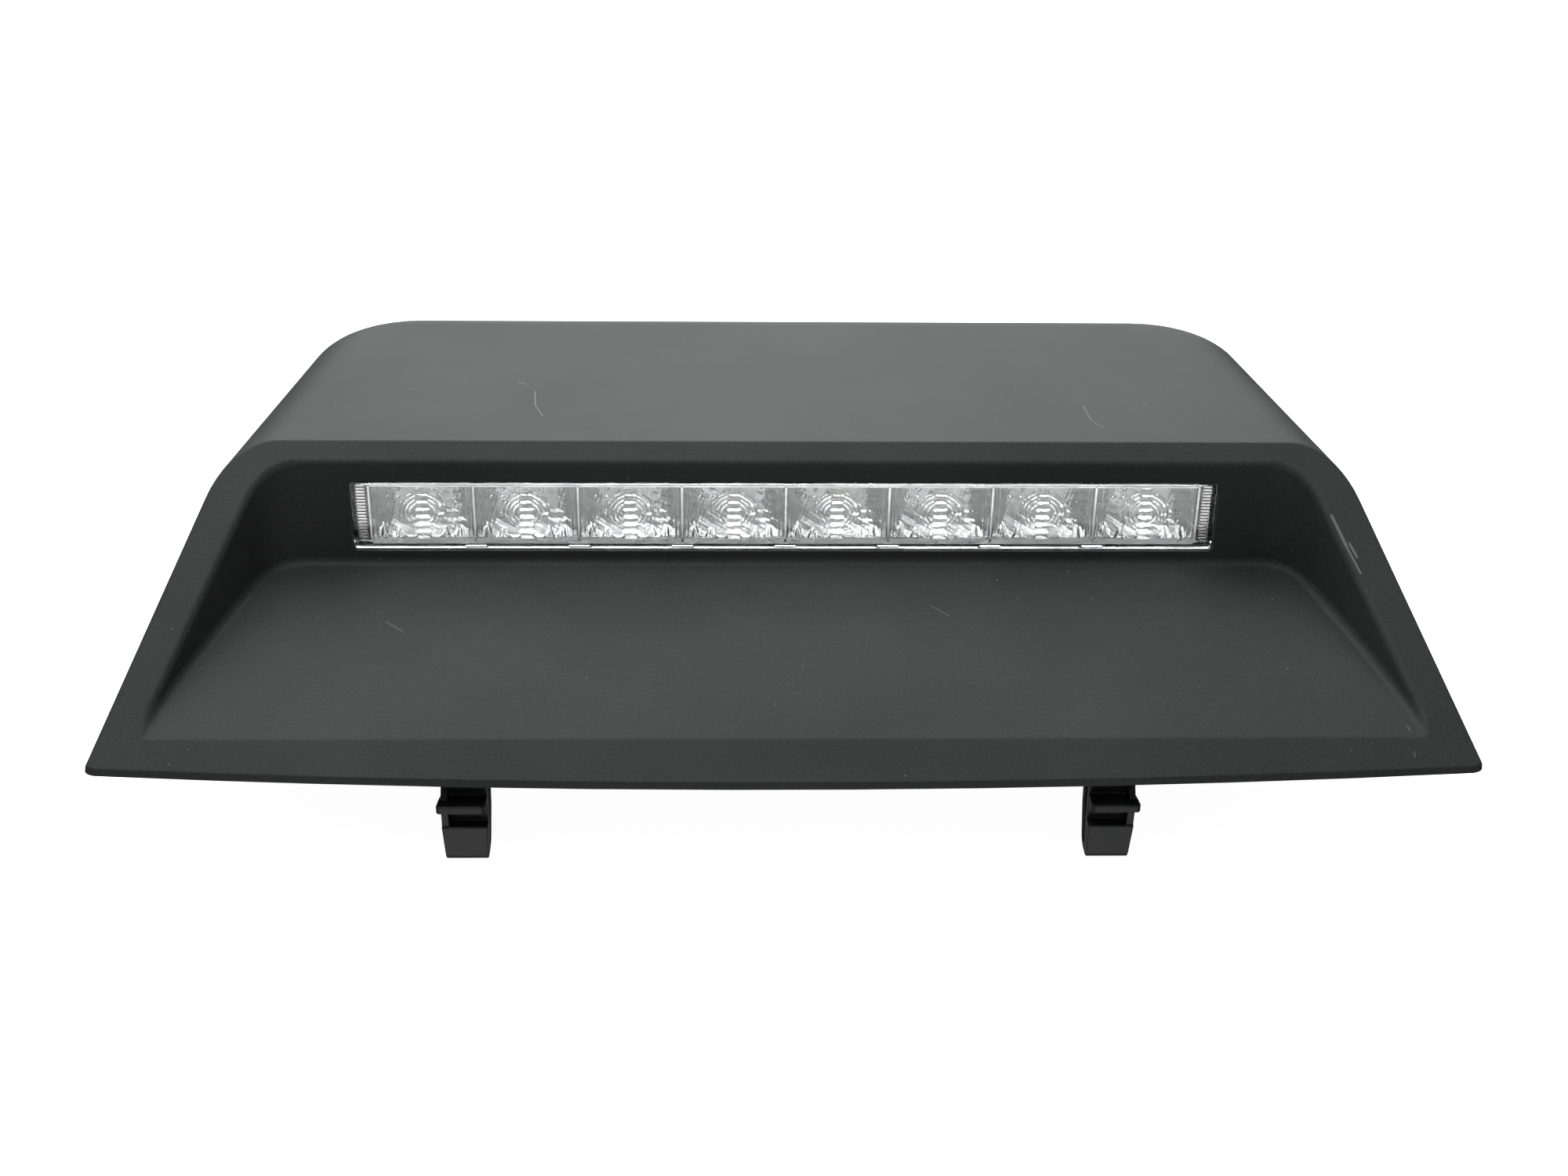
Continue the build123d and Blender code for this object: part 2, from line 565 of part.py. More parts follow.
with BuildPart() as board_screws:
    with BuildSketch(facing_rear(board_face)) as board_heads:
        with GridLocations(board_screw_x * 2, 0, 2, 1):
            Circle(BOARD_SCREW_HEAD)
    extrude(amount=-BOARD_SCREW_HEAD_HEIGHT)
    with BuildSketch(facing_rear(board_face)) as board_shanks:
        with GridLocations(board_screw_x * 2, 0, 2, 1):
            Circle(BOARD_SCREW_RADIUS)
    extrude(amount=BOARD + BOARD_SCREW_LENGTH - SCREW_PLAY)
    with BuildSketch(facing_rear(board_face - BOARD_SCREW_HEAD_HEIGHT)) as board_crosses:
        with GridLocations(board_screw_x * 2, 0, 2, 1):
            Rectangle(BOARD_SCREW_HEAD, CROSS_ARM)
            Rectangle(CROSS_ARM, BOARD_SCREW_HEAD)
    extrude(amount=BOARD_SCREW_HEAD_HEIGHT / 2, mode=Mode.SUBTRACT)
save(board_screws.part, "board_screws")

# ---- snap latches: a foot and back leg that bend round to carry the tongue ----------------------
for side, name in ((-1, "left"), (1, "right")):
    latch_plane = Plane.YZ.offset(side * LATCH_X)
    with BuildPart() as clip:
        with BuildSketch(latch_plane) as leg_profile:
            with BuildLine() as leg_line:
                back_leg = Line((LATCH_FOOT_Y, 0), (BACK_LEG_Y, HINGE_Z))
                bend = TangentArc(back_leg @ 1, (HINGE_Y, HINGE_Z), tangent=back_leg % 1)
            trace(line_width=LATCH_WALL)
            with Locations((HINGE_Y, HINGE_Z)):
                Circle(KNUCKLE_RADIUS + KNUCKLE_PLAY, mode=Mode.SUBTRACT)
        extrude(amount=LATCH_WIDTH / 2, both=True)
        with BuildSketch(Plane.XY) as foot:
            with Locations((side * LATCH_X, LATCH_FOOT_Y)):
                Rectangle(LATCH_FOOT_WIDTH, LATCH_FOOT_THICK)
        extrude(amount=LATCH_FOOT_HEIGHT)
    save(clip.part, f"{name}_clip")

    with BuildPart() as tongue:
        with BuildSketch(latch_plane) as tongue_profile:
            with Locations((HINGE_Y, HINGE_Z)):
                Circle(KNUCKLE_RADIUS)
            front = HINGE_Y - LATCH_WALL / 2
            with BuildLine():
                Polyline(
                    (front, HINGE_Z), (front - SCREW_PLAY, HINGE_Z - BARB_FOOT_DROP),
                    (front - BARB_FOOT_REACH, HINGE_Z - BARB_FOOT_DROP),
                    (front - BARB_REACH, BARB_LEDGE - BARB_EDGE),
                    (front - BARB_REACH, BARB_LEDGE), (front, BARB_LEDGE), (front, TONGUE_TOP),
                    (front + LATCH_WALL, TONGUE_TOP), (front + LATCH_WALL, HINGE_Z), close=True,
                )
            make_face()
        extrude(amount=LATCH_WIDTH / 2, both=True)
        plate_height = BARB_LEDGE + PANEL_GAP
        with BuildSketch(Plane.XY.offset(plate_height)) as plate:
            with Locations((side * (LATCH_X + PLATE_SIDE / 2), HINGE_Y - PLATE_REACH / 2)):
                Rectangle(LATCH_WIDTH + PLATE_SIDE, PLATE_REACH + LATCH_WALL)
        extrude(amount=PLATE_THICK)
        gusset_plane = Plane.YZ.offset(side * (LATCH_X + LATCH_WIDTH / 2 - GUSSET_WIDTH / 2))
        with BuildSketch(gusset_plane) as gusset:
            with BuildLine():
                Polyline(
                    (front, plate_height), (front - PLATE_REACH / 2, plate_height),
                    (front, TONGUE_TOP - PLATE_THICK), close=True,
                )
            make_face()
        extrude(amount=GUSSET_WIDTH / 2, both=True)
    save(tongue.part, f"{name}_clip_tongue")

save(cover.part, "cover")
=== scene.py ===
"""Looks for a third brake light: a grained charcoal hood, a clear lens and two snap latches."""
import json
import logging
import math
from dataclasses import dataclass, field
from enum import Enum
from typing import Any, Mapping, Protocol, Sequence

import bmesh
import bpy
import numpy as np
from mathutils import Matrix, Vector

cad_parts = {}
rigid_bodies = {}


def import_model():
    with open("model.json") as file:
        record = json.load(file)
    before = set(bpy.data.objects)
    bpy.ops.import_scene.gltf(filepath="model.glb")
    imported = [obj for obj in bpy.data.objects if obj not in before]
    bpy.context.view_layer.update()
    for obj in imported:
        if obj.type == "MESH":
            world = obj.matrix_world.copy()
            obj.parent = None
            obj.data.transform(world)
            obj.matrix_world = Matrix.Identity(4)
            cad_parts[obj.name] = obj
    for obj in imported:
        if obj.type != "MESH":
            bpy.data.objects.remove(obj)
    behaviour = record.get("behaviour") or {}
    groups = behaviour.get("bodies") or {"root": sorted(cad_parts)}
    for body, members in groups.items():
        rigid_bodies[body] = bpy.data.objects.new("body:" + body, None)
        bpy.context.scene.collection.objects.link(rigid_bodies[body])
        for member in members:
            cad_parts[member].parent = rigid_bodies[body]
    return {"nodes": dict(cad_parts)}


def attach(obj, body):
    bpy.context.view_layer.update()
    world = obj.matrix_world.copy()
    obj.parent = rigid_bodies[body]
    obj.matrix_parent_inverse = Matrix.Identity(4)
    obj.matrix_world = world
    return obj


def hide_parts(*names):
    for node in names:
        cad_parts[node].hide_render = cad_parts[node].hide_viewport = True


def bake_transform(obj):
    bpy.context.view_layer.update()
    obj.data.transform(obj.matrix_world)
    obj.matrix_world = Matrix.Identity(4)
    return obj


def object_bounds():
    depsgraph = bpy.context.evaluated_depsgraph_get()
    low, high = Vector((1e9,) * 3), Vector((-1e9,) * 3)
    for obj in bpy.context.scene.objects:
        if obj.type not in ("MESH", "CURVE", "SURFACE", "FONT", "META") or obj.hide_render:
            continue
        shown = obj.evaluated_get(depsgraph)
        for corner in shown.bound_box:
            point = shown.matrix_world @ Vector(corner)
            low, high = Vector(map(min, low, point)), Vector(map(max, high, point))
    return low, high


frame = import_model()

MM = 0.001
CAD_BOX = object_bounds()

Point = tuple[float, float, float]
Socket = bpy.types.NodeSocket

log = logging.getLogger("brake_light")


class Body(str, Enum):
    """The bodies that pieces ride on."""

    LAMP = "lamp"
    LEFT = "left_latch"
    RIGHT = "right_latch"


class Pattern(str, Enum):
    """The kinds of texture that the finishes are drawn with."""

    NOISE = "ShaderNodeTexNoise"
    CELLS = "ShaderNodeTexVoronoi"
    WAVES = "ShaderNodeTexWave"


# ---- nodes and colours ---------------------------------------------------------------------------
def linear(code: str) -> tuple[float, float, float, float]:
    """Turn an sRGB hex colour into linear light.

    Args:
        code: Six hex digits, such as "3a3b3c".

    Returns:
        Linear red, green and blue, and an alpha of 1.
    """
    channels = [int(code[i : i + 2], 16) / 255 for i in (0, 2, 4)]
    return (*(c / 12.92 if c <= 0.04045 else ((c + 0.055) / 1.055) ** 2.4 for c in channels), 1.0)


def add_node(
    tree: bpy.types.NodeTree, kind: str, inputs: Mapping[Any, Any] | None = None, **settings: Any
) -> bpy.types.Node:
    """Add one node with its settings, and set or link its inputs.

    Args:
        tree: The shader or geometry tree to add to.
        kind: Blender's name for the node's type.
        inputs: Socket name or index to a value, or to a socket that feeds it.
        settings: Attributes of the node itself.

    Returns:
        The new node.
    """
    node = tree.nodes.new(kind)
    for name, value in settings.items():
        setattr(node, name, value)
    for key, value in (inputs or {}).items():
        if isinstance(value, Socket):
            tree.links.new(value, node.inputs[key])
        else:
            node.inputs[key].default_value = value
    return node


class Surface:
    """A material being made: one Principled shader and the patterns that feed it."""

    def __init__(self, name: str, **uniform: Any) -> None:
        """Start the material.

        Args:
            name: What the real material is and how it was made.
            uniform: Shader inputs that are the same all over, with _ for each space.
        """
        self.material = bpy.data.materials.new(name)
        self.material.use_nodes = True
        self.tree = self.material.node_tree
        self.shader = self.tree.nodes["Principled BSDF"]
        for key, value in uniform.items():
            self.shader.inputs[key.replace("_", " ")].default_value = value
        self.place = add_node(self.tree, "ShaderNodeTexCoord").outputs["Object"]

    def pattern(self, kind: Pattern, size_mm: float, output: str | int = 0, **inputs: Any) -> Socket:
        """Add a texture on the object's own coordinates.

        Args:
            kind: Which texture.
            size_mm: Its feature size in millimetres.
            output: Which of its outputs to give.
            inputs: Its other inputs; "vector" replaces the coordinates.

        Returns:
            The texture's output.
        """
        place = inputs.pop("vector", self.place)
        sockets = {"Vector": place, "Scale": 1 / (size_mm * MM)}
        sockets.update({key.replace("_", " "): value for key, value in inputs.items()})
        return add_node(self.tree, kind.value, sockets).outputs[output]

    def stretched(self, x: float, y: float, z: float) -> Socket:
        """Give the coordinates multiplied along each axis."""
        node = add_node(
            self.tree, "ShaderNodeVectorMath", {0: self.place, 1: (x, y, z)}, operation="MULTIPLY"
        )
        return node.outputs[0]

    def axis(self, letter: str) -> Socket:
        """Give one of the coordinates, in metres."""
        return add_node(self.tree, "ShaderNodeSeparateXYZ", {0: self.place}).outputs[letter]

    def calc(self, operation: str, a: Any, b: Any = 0.0, c: Any = 0.0) -> Socket:
        """Add one step of arithmetic.

        Args:
            operation: Blender's name for the step, such as "MULTIPLY".
            a: First value or socket.
            b: Second value or socket.
            c: Third value or socket.

        Returns:
            The result.
        """
        return add_node(
            self.tree, "ShaderNodeMath", {0: a, 1: b, 2: c}, operation=operation
        ).outputs[0]

    def ramp(self, source: Socket, low: float, high: float, start: float = 0.0, end: float = 1.0) -> Socket:
        """Map a value from one range to another, clamped.

        Args:
            source: The value.
            low: Where the input range starts.
            high: Where it ends.
            start: What low becomes.
            end: What high becomes.

        Returns:
            The mapped value.
        """
        sockets = {"Value": source, "From Min": low, "From Max": high, "To Min": start, "To Max": end}
        return add_node(self.tree, "ShaderNodeMapRange", sockets).outputs["Result"]

    def mix(self, amount: Any, under: Any, over: Any) -> Socket:
        """Mix two colours.

        Args:
            amount: 0 for under, 1 for over.
            under: Colour code or socket.
            over: Colour code or socket.

        Returns:
            The mixed colour.
        """
        node = self.tree.nodes.new("ShaderNodeMix")
        node.data_type = "RGBA"
        factor, first, second = node.inputs[0], node.inputs[6], node.inputs[7]
        for socket, value in ((factor, amount), (first, under), (second, over)):
            if isinstance(value, Socket):
                self.tree.links.new(value, socket)
            else:
                socket.default_value = linear(value) if isinstance(value, str) else value
        return node.outputs[2]

    def mark(self, start: Point, end: Point, width_mm: float) -> Socket:
        """Mask a straight scratch on the surface.

        Args:
            start: One end in millimetres.
            end: The other end.
            width_mm: Its width.

        Returns:
            1 on the scratch and 0 off it.
        """
        first, last = Vector(start) * MM, Vector(end) * MM
        along = last - first
        offset = add_node(
            self.tree, "ShaderNodeVectorMath", {0: self.place, 1: first}, operation="SUBTRACT"
        ).outputs[0]
        share = add_node(
            self.tree, "ShaderNodeVectorMath", {0: offset, 1: along / along.length_squared},
            operation="DOT_PRODUCT",
        ).outputs["Value"]
        share = self.calc("MINIMUM", self.calc("MAXIMUM", share, 0.0), 1.0)
        foot = add_node(
            self.tree, "ShaderNodeVectorMath", {0: along, "Scale": share}, operation="SCALE"
        ).outputs[0]
        gap = add_node(
            self.tree, "ShaderNodeVectorMath", {0: offset, 1: foot}, operation="DISTANCE"
        ).outputs["Value"]
        return self.ramp(gap, width_mm * MM / 2, width_mm * MM, 1.0, 0.0)

    def bump(self, height: Socket, depth_mm: float, strength: float = 1.0) -> None:
        """Raise the surface a little by a pattern.

        Args:
            height: The pattern.
            depth_mm: How far 1 stands above 0.
            strength: How much of it shows.
        """
        node = add_node(
            self.tree, "ShaderNodeBump",
            {"Height": height, "Strength": strength, "Distance": depth_mm * MM},
        )
        self.feed("Normal", node.outputs["Normal"])

    def feed(self, name: str, source: Socket) -> None:
        """Link a socket to one of the shader's inputs."""
        self.tree.links.new(source, self.shader.inputs[name])


class Finish(Protocol):
    """Anything that can make a material."""

    def make(self) -> bpy.types.Material:
        """Build the finish."""


# ---- finishes ------------------------------------------------------------------------------------
@dataclass(frozen=True)
class GrainedAbs:
    """ABS moulded against an etched tool: matt and evenly grained, with faint handling marks."""

    name: str = "ABS_moulded_fine_grain"
    dark: str = "353737"
    light: str = "484a49"
    scuff: str = "b4b5b4"
    grain_mm: float = 0.6
    roughness: float = 0.58
    marks: Sequence[tuple[Point, Point, float]] = (
        ((-61.2, 91.0, 53.3), (-60.4, 82.0, 53.3), 0.16),
        ((-60.4, 82.0, 53.3), (-58.2, 76.0, 53.3), 0.13),
        ((-66.0, 97.0, 53.3), (-63.4, 95.4, 53.3), 0.12),
        ((73.3, 83.0, 53.3), (74.0, 74.0, 53.3), 0.13),
        ((74.0, 74.0, 53.3), (76.4, 69.5, 53.3), 0.11),
        ((127.4, 46.9, 41.1), (130.0, 41.0, 36.2), 0.4),
        ((129.2, 42.6, 37.5), (132.6, 35.7, 31.8), 0.3),
        ((130.8, 41.4, 36.6), (132.2, 38.8, 34.4), 0.35),
        ((138.0, 11.0, 9.2), (139.7, 7.2, 7.0), 0.15),
        ((139.7, 7.2, 7.0), (140.0, 1.6, 3.2), 0.13),
        ((-93.0, 37.2, 18.2), (-88.5, 33.8, 17.2), 0.12),
        ((34.0, 42.2, 19.6), (38.0, 39.0, 18.7), 0.12),
    )

    def make(self) -> bpy.types.Material:
        """Build the finish.

        Returns:
            The material.
        """
        look = Surface(self.name, Roughness=self.roughness, Specular_IOR_Level=0.33)
        cloud = look.pattern(Pattern.NOISE, 42.0, Detail=3.0)
        # The etch is about 0.15 mm across and is drawn four times coarser, so that it shows.
        grain = look.pattern(Pattern.NOISE, self.grain_mm, Detail=2.0, Roughness=0.6)
        pits = look.pattern(Pattern.CELLS, self.grain_mm * 1.6, "Distance")
        tone = look.calc("MULTIPLY_ADD", cloud, 0.45, look.calc("MULTIPLY", grain, 0.6))
        body = look.mix(look.ramp(tone, 0.36, 0.72), self.dark, self.light)
        # Lint and dust: a few pale dots where a coarse pattern lets them through.
        dots = look.pattern(Pattern.CELLS, 3.6, "Distance", Randomness=1.0)
        where = look.pattern(Pattern.NOISE, 15.0, Detail=1.0)
        lint = look.calc(
            "MULTIPLY", look.ramp(dots, 0.035, 0.075, 1.0, 0.0), look.ramp(where, 0.56, 0.64)
        )
        fine = look.pattern(
            Pattern.CELLS, 2.4, "Distance", vector=look.stretched(1.0, 0.22, 0.3), Randomness=1.0
        )
        hairs = look.calc(
            "MULTIPLY", look.ramp(fine, 0.02, 0.05, 1.0, 0.0), look.ramp(where, 0.60, 0.66)
        )
        worn = look.calc("MAXIMUM", look.calc("MULTIPLY", lint, 0.4), look.calc("MULTIPLY", hairs, 0.3))
        for start, end, width in self.marks:
            worn = look.calc("MAXIMUM", worn, look.calc("MULTIPLY", look.mark(start, end, width), 0.42))
        look.feed("Base Color", look.mix(worn, body, self.scuff))
        look.feed("Roughness", look.ramp(grain, 0.3, 0.7, self.roughness - 0.05, self.roughness + 0.07))
        look.bump(look.calc("SUBTRACT", grain, look.calc("MULTIPLY", pits, 0.5)), 0.06, 0.55)
        return look.material


@dataclass(frozen=True)
class MouldedPlastic:
    """A smooth or lightly textured injection moulding, with its flow marks and tool texture."""

    name: str
    dark: str
    light: str
    roughness: float = 0.35
    texture_mm: float = 0.5
    texture_depth: float = 0.02
    flow_mm: float = 9.0

    def make(self) -> bpy.types.Material:
        """Build the finish.

        Returns:
            The material.
        """
        look = Surface(self.name)
        # Plastic that has flowed into the tool shows as long, faint cloudy streaks.
        flow = look.pattern(
            Pattern.NOISE, self.flow_mm, vector=look.stretched(1.0, 1.0, 0.35), Detail=3.0,
            Distortion=0.6,
        )
        texture = look.pattern(Pattern.NOISE, self.texture_mm, Detail=3.0)
        look.feed("Base Color", look.mix(look.ramp(flow, 0.35, 0.68), self.dark, self.light))
        uneven = look.calc("MULTIPLY_ADD", texture, 0.5, look.calc("MULTIPLY", flow, 0.5))
        look.feed(
            "Roughness", look.ramp(uneven, 0.3, 0.7, self.roughness - 0.07, self.roughness + 0.09)
        )
        look.bump(texture, self.texture_depth)
        return look.material


@dataclass(frozen=True)
class ClearPolycarbonate:
    """A polished clear moulding: glassy, almost colourless, with haze and moulding ripple."""

    name: str
    tint: str = "fcfcfc"
    roughness: float = 0.02
    ripple_mm: float = 5.0
    ripple_depth: float = 0.01

    def make(self) -> bpy.types.Material:
        """Build the finish.

        Returns:
            The material.
        """
        look = Surface(
            self.name, Base_Color=linear(self.tint), Transmission_Weight=1.0, IOR=1.585,
        )
        ripple = look.pattern(Pattern.NOISE, self.ripple_mm, Detail=1.0)
        haze = look.pattern(Pattern.NOISE, 1.3, Detail=3.0)
        look.feed("Roughness", look.ramp(haze, 0.4, 0.75, self.roughness, self.roughness + 0.05))
        look.bump(ripple, self.ripple_depth)
        return look.material


@dataclass(frozen=True)
class VacuumMetallised:
    """Aluminium vapour on moulded plastic: bright, faintly orange-peeled and dulled in patches."""

    name: str = "polycarbonate_vacuum_metallised"
    bright: str = "d9dbdb"
    dull: str = "b4b7b6"
    roughness: float = 0.22

    def make(self) -> bpy.types.Material:
        """Build the finish.

        Returns:
            The material.
        """
        look = Surface(self.name, Metallic=1.0)
        peel = look.pattern(Pattern.NOISE, 1.1, Detail=2.0)
        patch = look.pattern(Pattern.NOISE, 8.0, Detail=2.0)
        look.feed("Base Color", look.mix(look.ramp(patch, 0.35, 0.7), self.bright, self.dull))
        look.feed("Roughness", look.ramp(patch, 0.3, 0.7, self.roughness, self.roughness + 0.14))
        look.bump(peel, 0.05)
        return look.material


@dataclass(frozen=True)
class SolderMask:
    """Glass-epoxy board under green solder mask, with the tracks just raised under it."""

    name: str = "glass_epoxy_green_solder_mask"
    mask: str = "1d5a3a"
    track: str = "2f7d50"

    def make(self) -> bpy.types.Material:
        """Build the finish.

        Returns:
            The material.
        """
        look = Surface(self.name, Roughness=0.3, Coat_Weight=0.3)
        # Tracks run along the board, a little over 1 mm apart, and step aside here and there.
        step = look.pattern(Pattern.NOISE, 16.0, vector=look.stretched(1.0, 0.0, 0.2), Detail=0.0)
        rows = look.calc("MULTIPLY_ADD", step, 2.5, look.calc("DIVIDE", look.axis("Z"), 1.3 * MM))
        track = look.ramp(look.calc("PINGPONG", rows, 0.5), 0.22, 0.27)
        cloth = look.pattern(Pattern.WAVES, 0.9, "Fac", Distortion=1.0)
        tone = look.mix(track, self.mask, self.track)
        look.feed("Base Color", look.mix(look.calc("MULTIPLY", cloth, 0.12), tone, "0e3322"))
        look.bump(track, 0.035)
        return look.material


@dataclass(frozen=True)
class ComponentCase:
    """A small electronic part's case, with its speckled body and moulded or drawn sheen."""

    name: str
    dark: str
    light: str
    roughness: float = 0.45
    metallic: float = 0.0
    speck_mm: float = 0.35

    def make(self) -> bpy.types.Material:
        """Build the finish.

        Returns:
            The material.
        """
        look = Surface(self.name, Metallic=self.metallic)
        speck = look.pattern(Pattern.NOISE, self.speck_mm, Detail=4.0, Roughness=0.7)
        look.feed("Base Color", look.mix(look.ramp(speck, 0.38, 0.66), self.dark, self.light))
        look.feed(
            "Roughness", look.ramp(speck, 0.35, 0.7, self.roughness - 0.08, self.roughness + 0.1)
        )
        look.bump(speck, 0.012)
        return look.material


@dataclass(frozen=True)
class PlatedSteel:
    """Zinc-plated or tinned metal: crystalline bright patches over fine turning lines."""

    name: str
    dark: str = "8f9498"
    light: str = "c6cace"
    roughness: float = 0.3
    line_mm: float = 0.25

    def make(self) -> bpy.types.Material:
        """Build the finish.

        Returns:
            The material.
        """
        look = Surface(self.name, Metallic=1.0)
        spangle = look.pattern(Pattern.CELLS, 0.8, "Color")
        shade = add_node(look.tree, "ShaderNodeSeparateColor", {0: spangle}).outputs[0]
        lines = look.pattern(Pattern.NOISE, self.line_mm, vector=look.stretched(0.2, 1.0, 0.2))
        look.feed("Base Color", look.mix(look.ramp(shade, 0.1, 0.9), self.dark, self.light))
        look.feed("Roughness", look.ramp(lines, 0.3, 0.7, self.roughness - 0.1, self.roughness + 0.12))
        look.bump(lines, 0.015)
        return look.material


@dataclass(frozen=True)
class CellFoam:
    """Closed-cell foam strip: black, with small open cells on its cut faces."""

    name: str = "EPDM_foam_cut"
    dark: str = "0d0d0e"
    light: str = "26272a"
    cell_mm: float = 0.45

    def make(self) -> bpy.types.Material:
        """Build the finish.

        Returns:
            The material.
        """
        look = Surface(self.name, Roughness=0.95, Specular_IOR_Level=0.2)
        cell = look.pattern(Pattern.CELLS, self.cell_mm, "Distance")
        look.feed("Base Color", look.mix(look.ramp(cell, 0.1, 0.6), self.dark, self.light))
        look.bump(cell, 0.12)
        return look.material


@dataclass(frozen=True)
class LightTable:
    """The floor: a pale translucent sheet lit evenly from below."""

    name: str = "acrylic_sheet_backlit"

    def make(self) -> bpy.types.Material:
        """Build the finish.

        Returns:
            The material.
        """
        look = Surface(
            self.name, Base_Color=linear("f4f4f4"), Roughness=0.9,
            Emission_Color=(1.0, 1.0, 1.0, 1.0), Emission_Strength=0.95,
        )
        return look.material


# ---- meshes --------------------------------------------------------------------------------------
def to_mesh(
    name: str, points: Sequence[Point] | np.ndarray, faces: Sequence[Sequence[int]]
) -> bpy.types.Mesh:
    """Make a mesh from points in millimetres, with its faces turned outward.

    Args:
        name: The mesh's name.
        points: Corners in millimetres.
        faces: Corner numbers of each face.

    Returns:
        The mesh, in metres.
    """
    mesh = bpy.data.meshes.new(name)
    mesh.from_pydata([tuple(c * MM for c in p) for p in points], [], [tuple(f) for f in faces])
    build = bmesh.new()
    build.from_mesh(mesh)
    bmesh.ops.recalc_face_normals(build, faces=build.faces)
    build.to_mesh(mesh)
    build.free()
    return mesh


def extruded(
    outline: Sequence[tuple[float, float]], low: float, high: float, axis: int
) -> tuple[list[Point], list[tuple[int, ...]]]:
    """Extrude an outline along an axis.

    Args:
        outline: Points in the two other axes, in their usual order.
        low: Where it starts along the axis.
        high: Where it ends.
        axis: 0, 1 or 2 for X, Y or Z.

    Returns:
        Points and faces.
    """
    count = len(outline)
    points = []
    for level in (low, high):
        for first, second in outline:
            point = [first, second]
            point.insert(axis, level)
            points.append(tuple(point))
    faces = [tuple(range(count)), tuple(range(count, 2 * count))]
    faces += [(i, (i + 1) % count, count + (i + 1) % count, count + i) for i in range(count)]
    return points, faces


def rounded(half_x: float, half_z: float, radius: float, steps: int = 6) -> list[tuple[float, float]]:
    """Trace a rectangle with round corners.

    Args:
        half_x: Half its width.
        half_z: Half its height.
        radius: Corner radius.
        steps: Points in each corner.

    Returns:
        Its points, counter-clockwise.
    """
    points = []
    for corner in range(4):
        turn = corner * math.pi / 2
        side_x = half_x - radius if corner in (0, 3) else radius - half_x
        side_z = half_z - radius if corner in (0, 1) else radius - half_z
        for step in range(steps):
            angle = turn + step / (steps - 1) * math.pi / 2
            points.append((side_x + radius * math.cos(angle), side_z + radius * math.sin(angle)))
    return points


def loft(name: str, rings: Sequence[tuple[float, float, float, float]], middle: Point) -> bpy.types.Mesh:
    """Join rounded rectangles that stand one behind another into a closed shell.

    Args:
        name: The mesh's name.
        rings: Distance along Y, half width, half height and corner radius of each.
        middle: Centre of the first ring's plane, in millimetres.

    Returns:
        The mesh.
    """
    points, faces = [], []
    for depth, half_x, half_z, radius in rings:
        for x, z in rounded(half_x, half_z, radius):
            points.append((middle[0] + x, middle[1] + depth, middle[2] + z))
    count = len(points) // len(rings)
    for ring in range(len(rings) - 1):
        base = ring * count
        faces += [
            (base + i, base + (i + 1) % count, base + count + (i + 1) % count, base + count + i)
            for i in range(count)
        ]
    faces += [tuple(range(count)), tuple(range(len(points) - count, len(points)))]
    return to_mesh(name, points, faces)


def relief_slab(
    name: str, half_x: float, half_z: float, step: float, height: Any, back: float
) -> bpy.types.Mesh:
    """Make a closed slab whose front face follows a height rule.

    Args:
        name: The mesh's name.
        half_x: Half its width in millimetres.
        half_z: Half its height.
        step: Size of its squares.
        height: Takes arrays of X and Z, and gives how far the front stands forward.
        back: How far behind the plane of height 0 its flat back is.

    Returns:
        The mesh, centred, with its front towards -Y.
    """
    columns, rows = round(2 * half_x / step) + 1, round(2 * half_z / step) + 1
    grid_x, grid_z = np.meshgrid(
        np.linspace(-half_x, half_x, columns), np.linspace(-half_z, half_z, rows)
    )
    front = np.column_stack((grid_x.ravel(), -height(grid_x, grid_z).ravel(), grid_z.ravel()))
    number = np.arange(columns * rows).reshape(rows, columns)
    faces = np.column_stack(
        (number[:-1, :-1].ravel(), number[:-1, 1:].ravel(), number[1:, 1:].ravel(), number[1:, :-1].ravel())
    ).tolist()
    edge = np.concatenate((number[0, :-1], number[:-1, -1], number[-1, :0:-1], number[:0:-1, 0]))
    rear = front[edge] * (1, 0, 1) + (0, back, 0)
    first = len(front)
    count = len(edge)
    for i in range(count):
        j = (i + 1) % count
        faces.append((int(edge[j]), int(edge[i]), first + i, first + j))
    faces.append(tuple(range(first, first + count)))
    mesh = to_mesh(name, np.vstack((front, rear)), faces)
    smooth = np.zeros(len(mesh.polygons), bool)
    smooth[: (columns - 1) * (rows - 1)] = True
    mesh.polygons.foreach_set("use_smooth", smooth)
    return mesh


def place_piece(
    mesh: bpy.types.Mesh, name: str, body: Body, nodes: Sequence[str] = ()
) -> None:
    """Put a finished mesh in the scene and let it ride on a body.

    Args:
        mesh: The mesh, in place.
        name: The piece's name.
        body: What it rides on.
        nodes: CAD nodes that it replaces.
    """
    piece = bpy.data.objects.new(name, mesh)
    bpy.context.collection.objects.link(piece)
    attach(piece, body.value)
    if nodes:
        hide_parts(*nodes)
    log.info("%s: %d faces, rides on %s", name, len(mesh.polygons), body.value)


def dress_node(node: str, material: bpy.types.Material) -> None:
    """Give a CAD node a finish in every slot it has.

    Args:
        node: The node's name.
        material: Its finish.
    """
    for slot in frame["nodes"][node].material_slots:
        slot.material = material
    log.info("%s wears %s", node, material.name)


def evaluated(host: bpy.types.Object, name: str) -> bpy.types.Mesh:
    """Take the plain mesh that an object's modifiers give, and delete the object.

    Args:
        host: The object with live modifiers.
        name: The new mesh's name.

    Returns:
        The mesh.
    """
    graph = bpy.context.evaluated_depsgraph_get()
    mesh = bpy.data.meshes.new_from_object(host.evaluated_get(graph))
    mesh.name = name
    host.modifiers.clear()
    bpy.data.objects.remove(host)
    return mesh


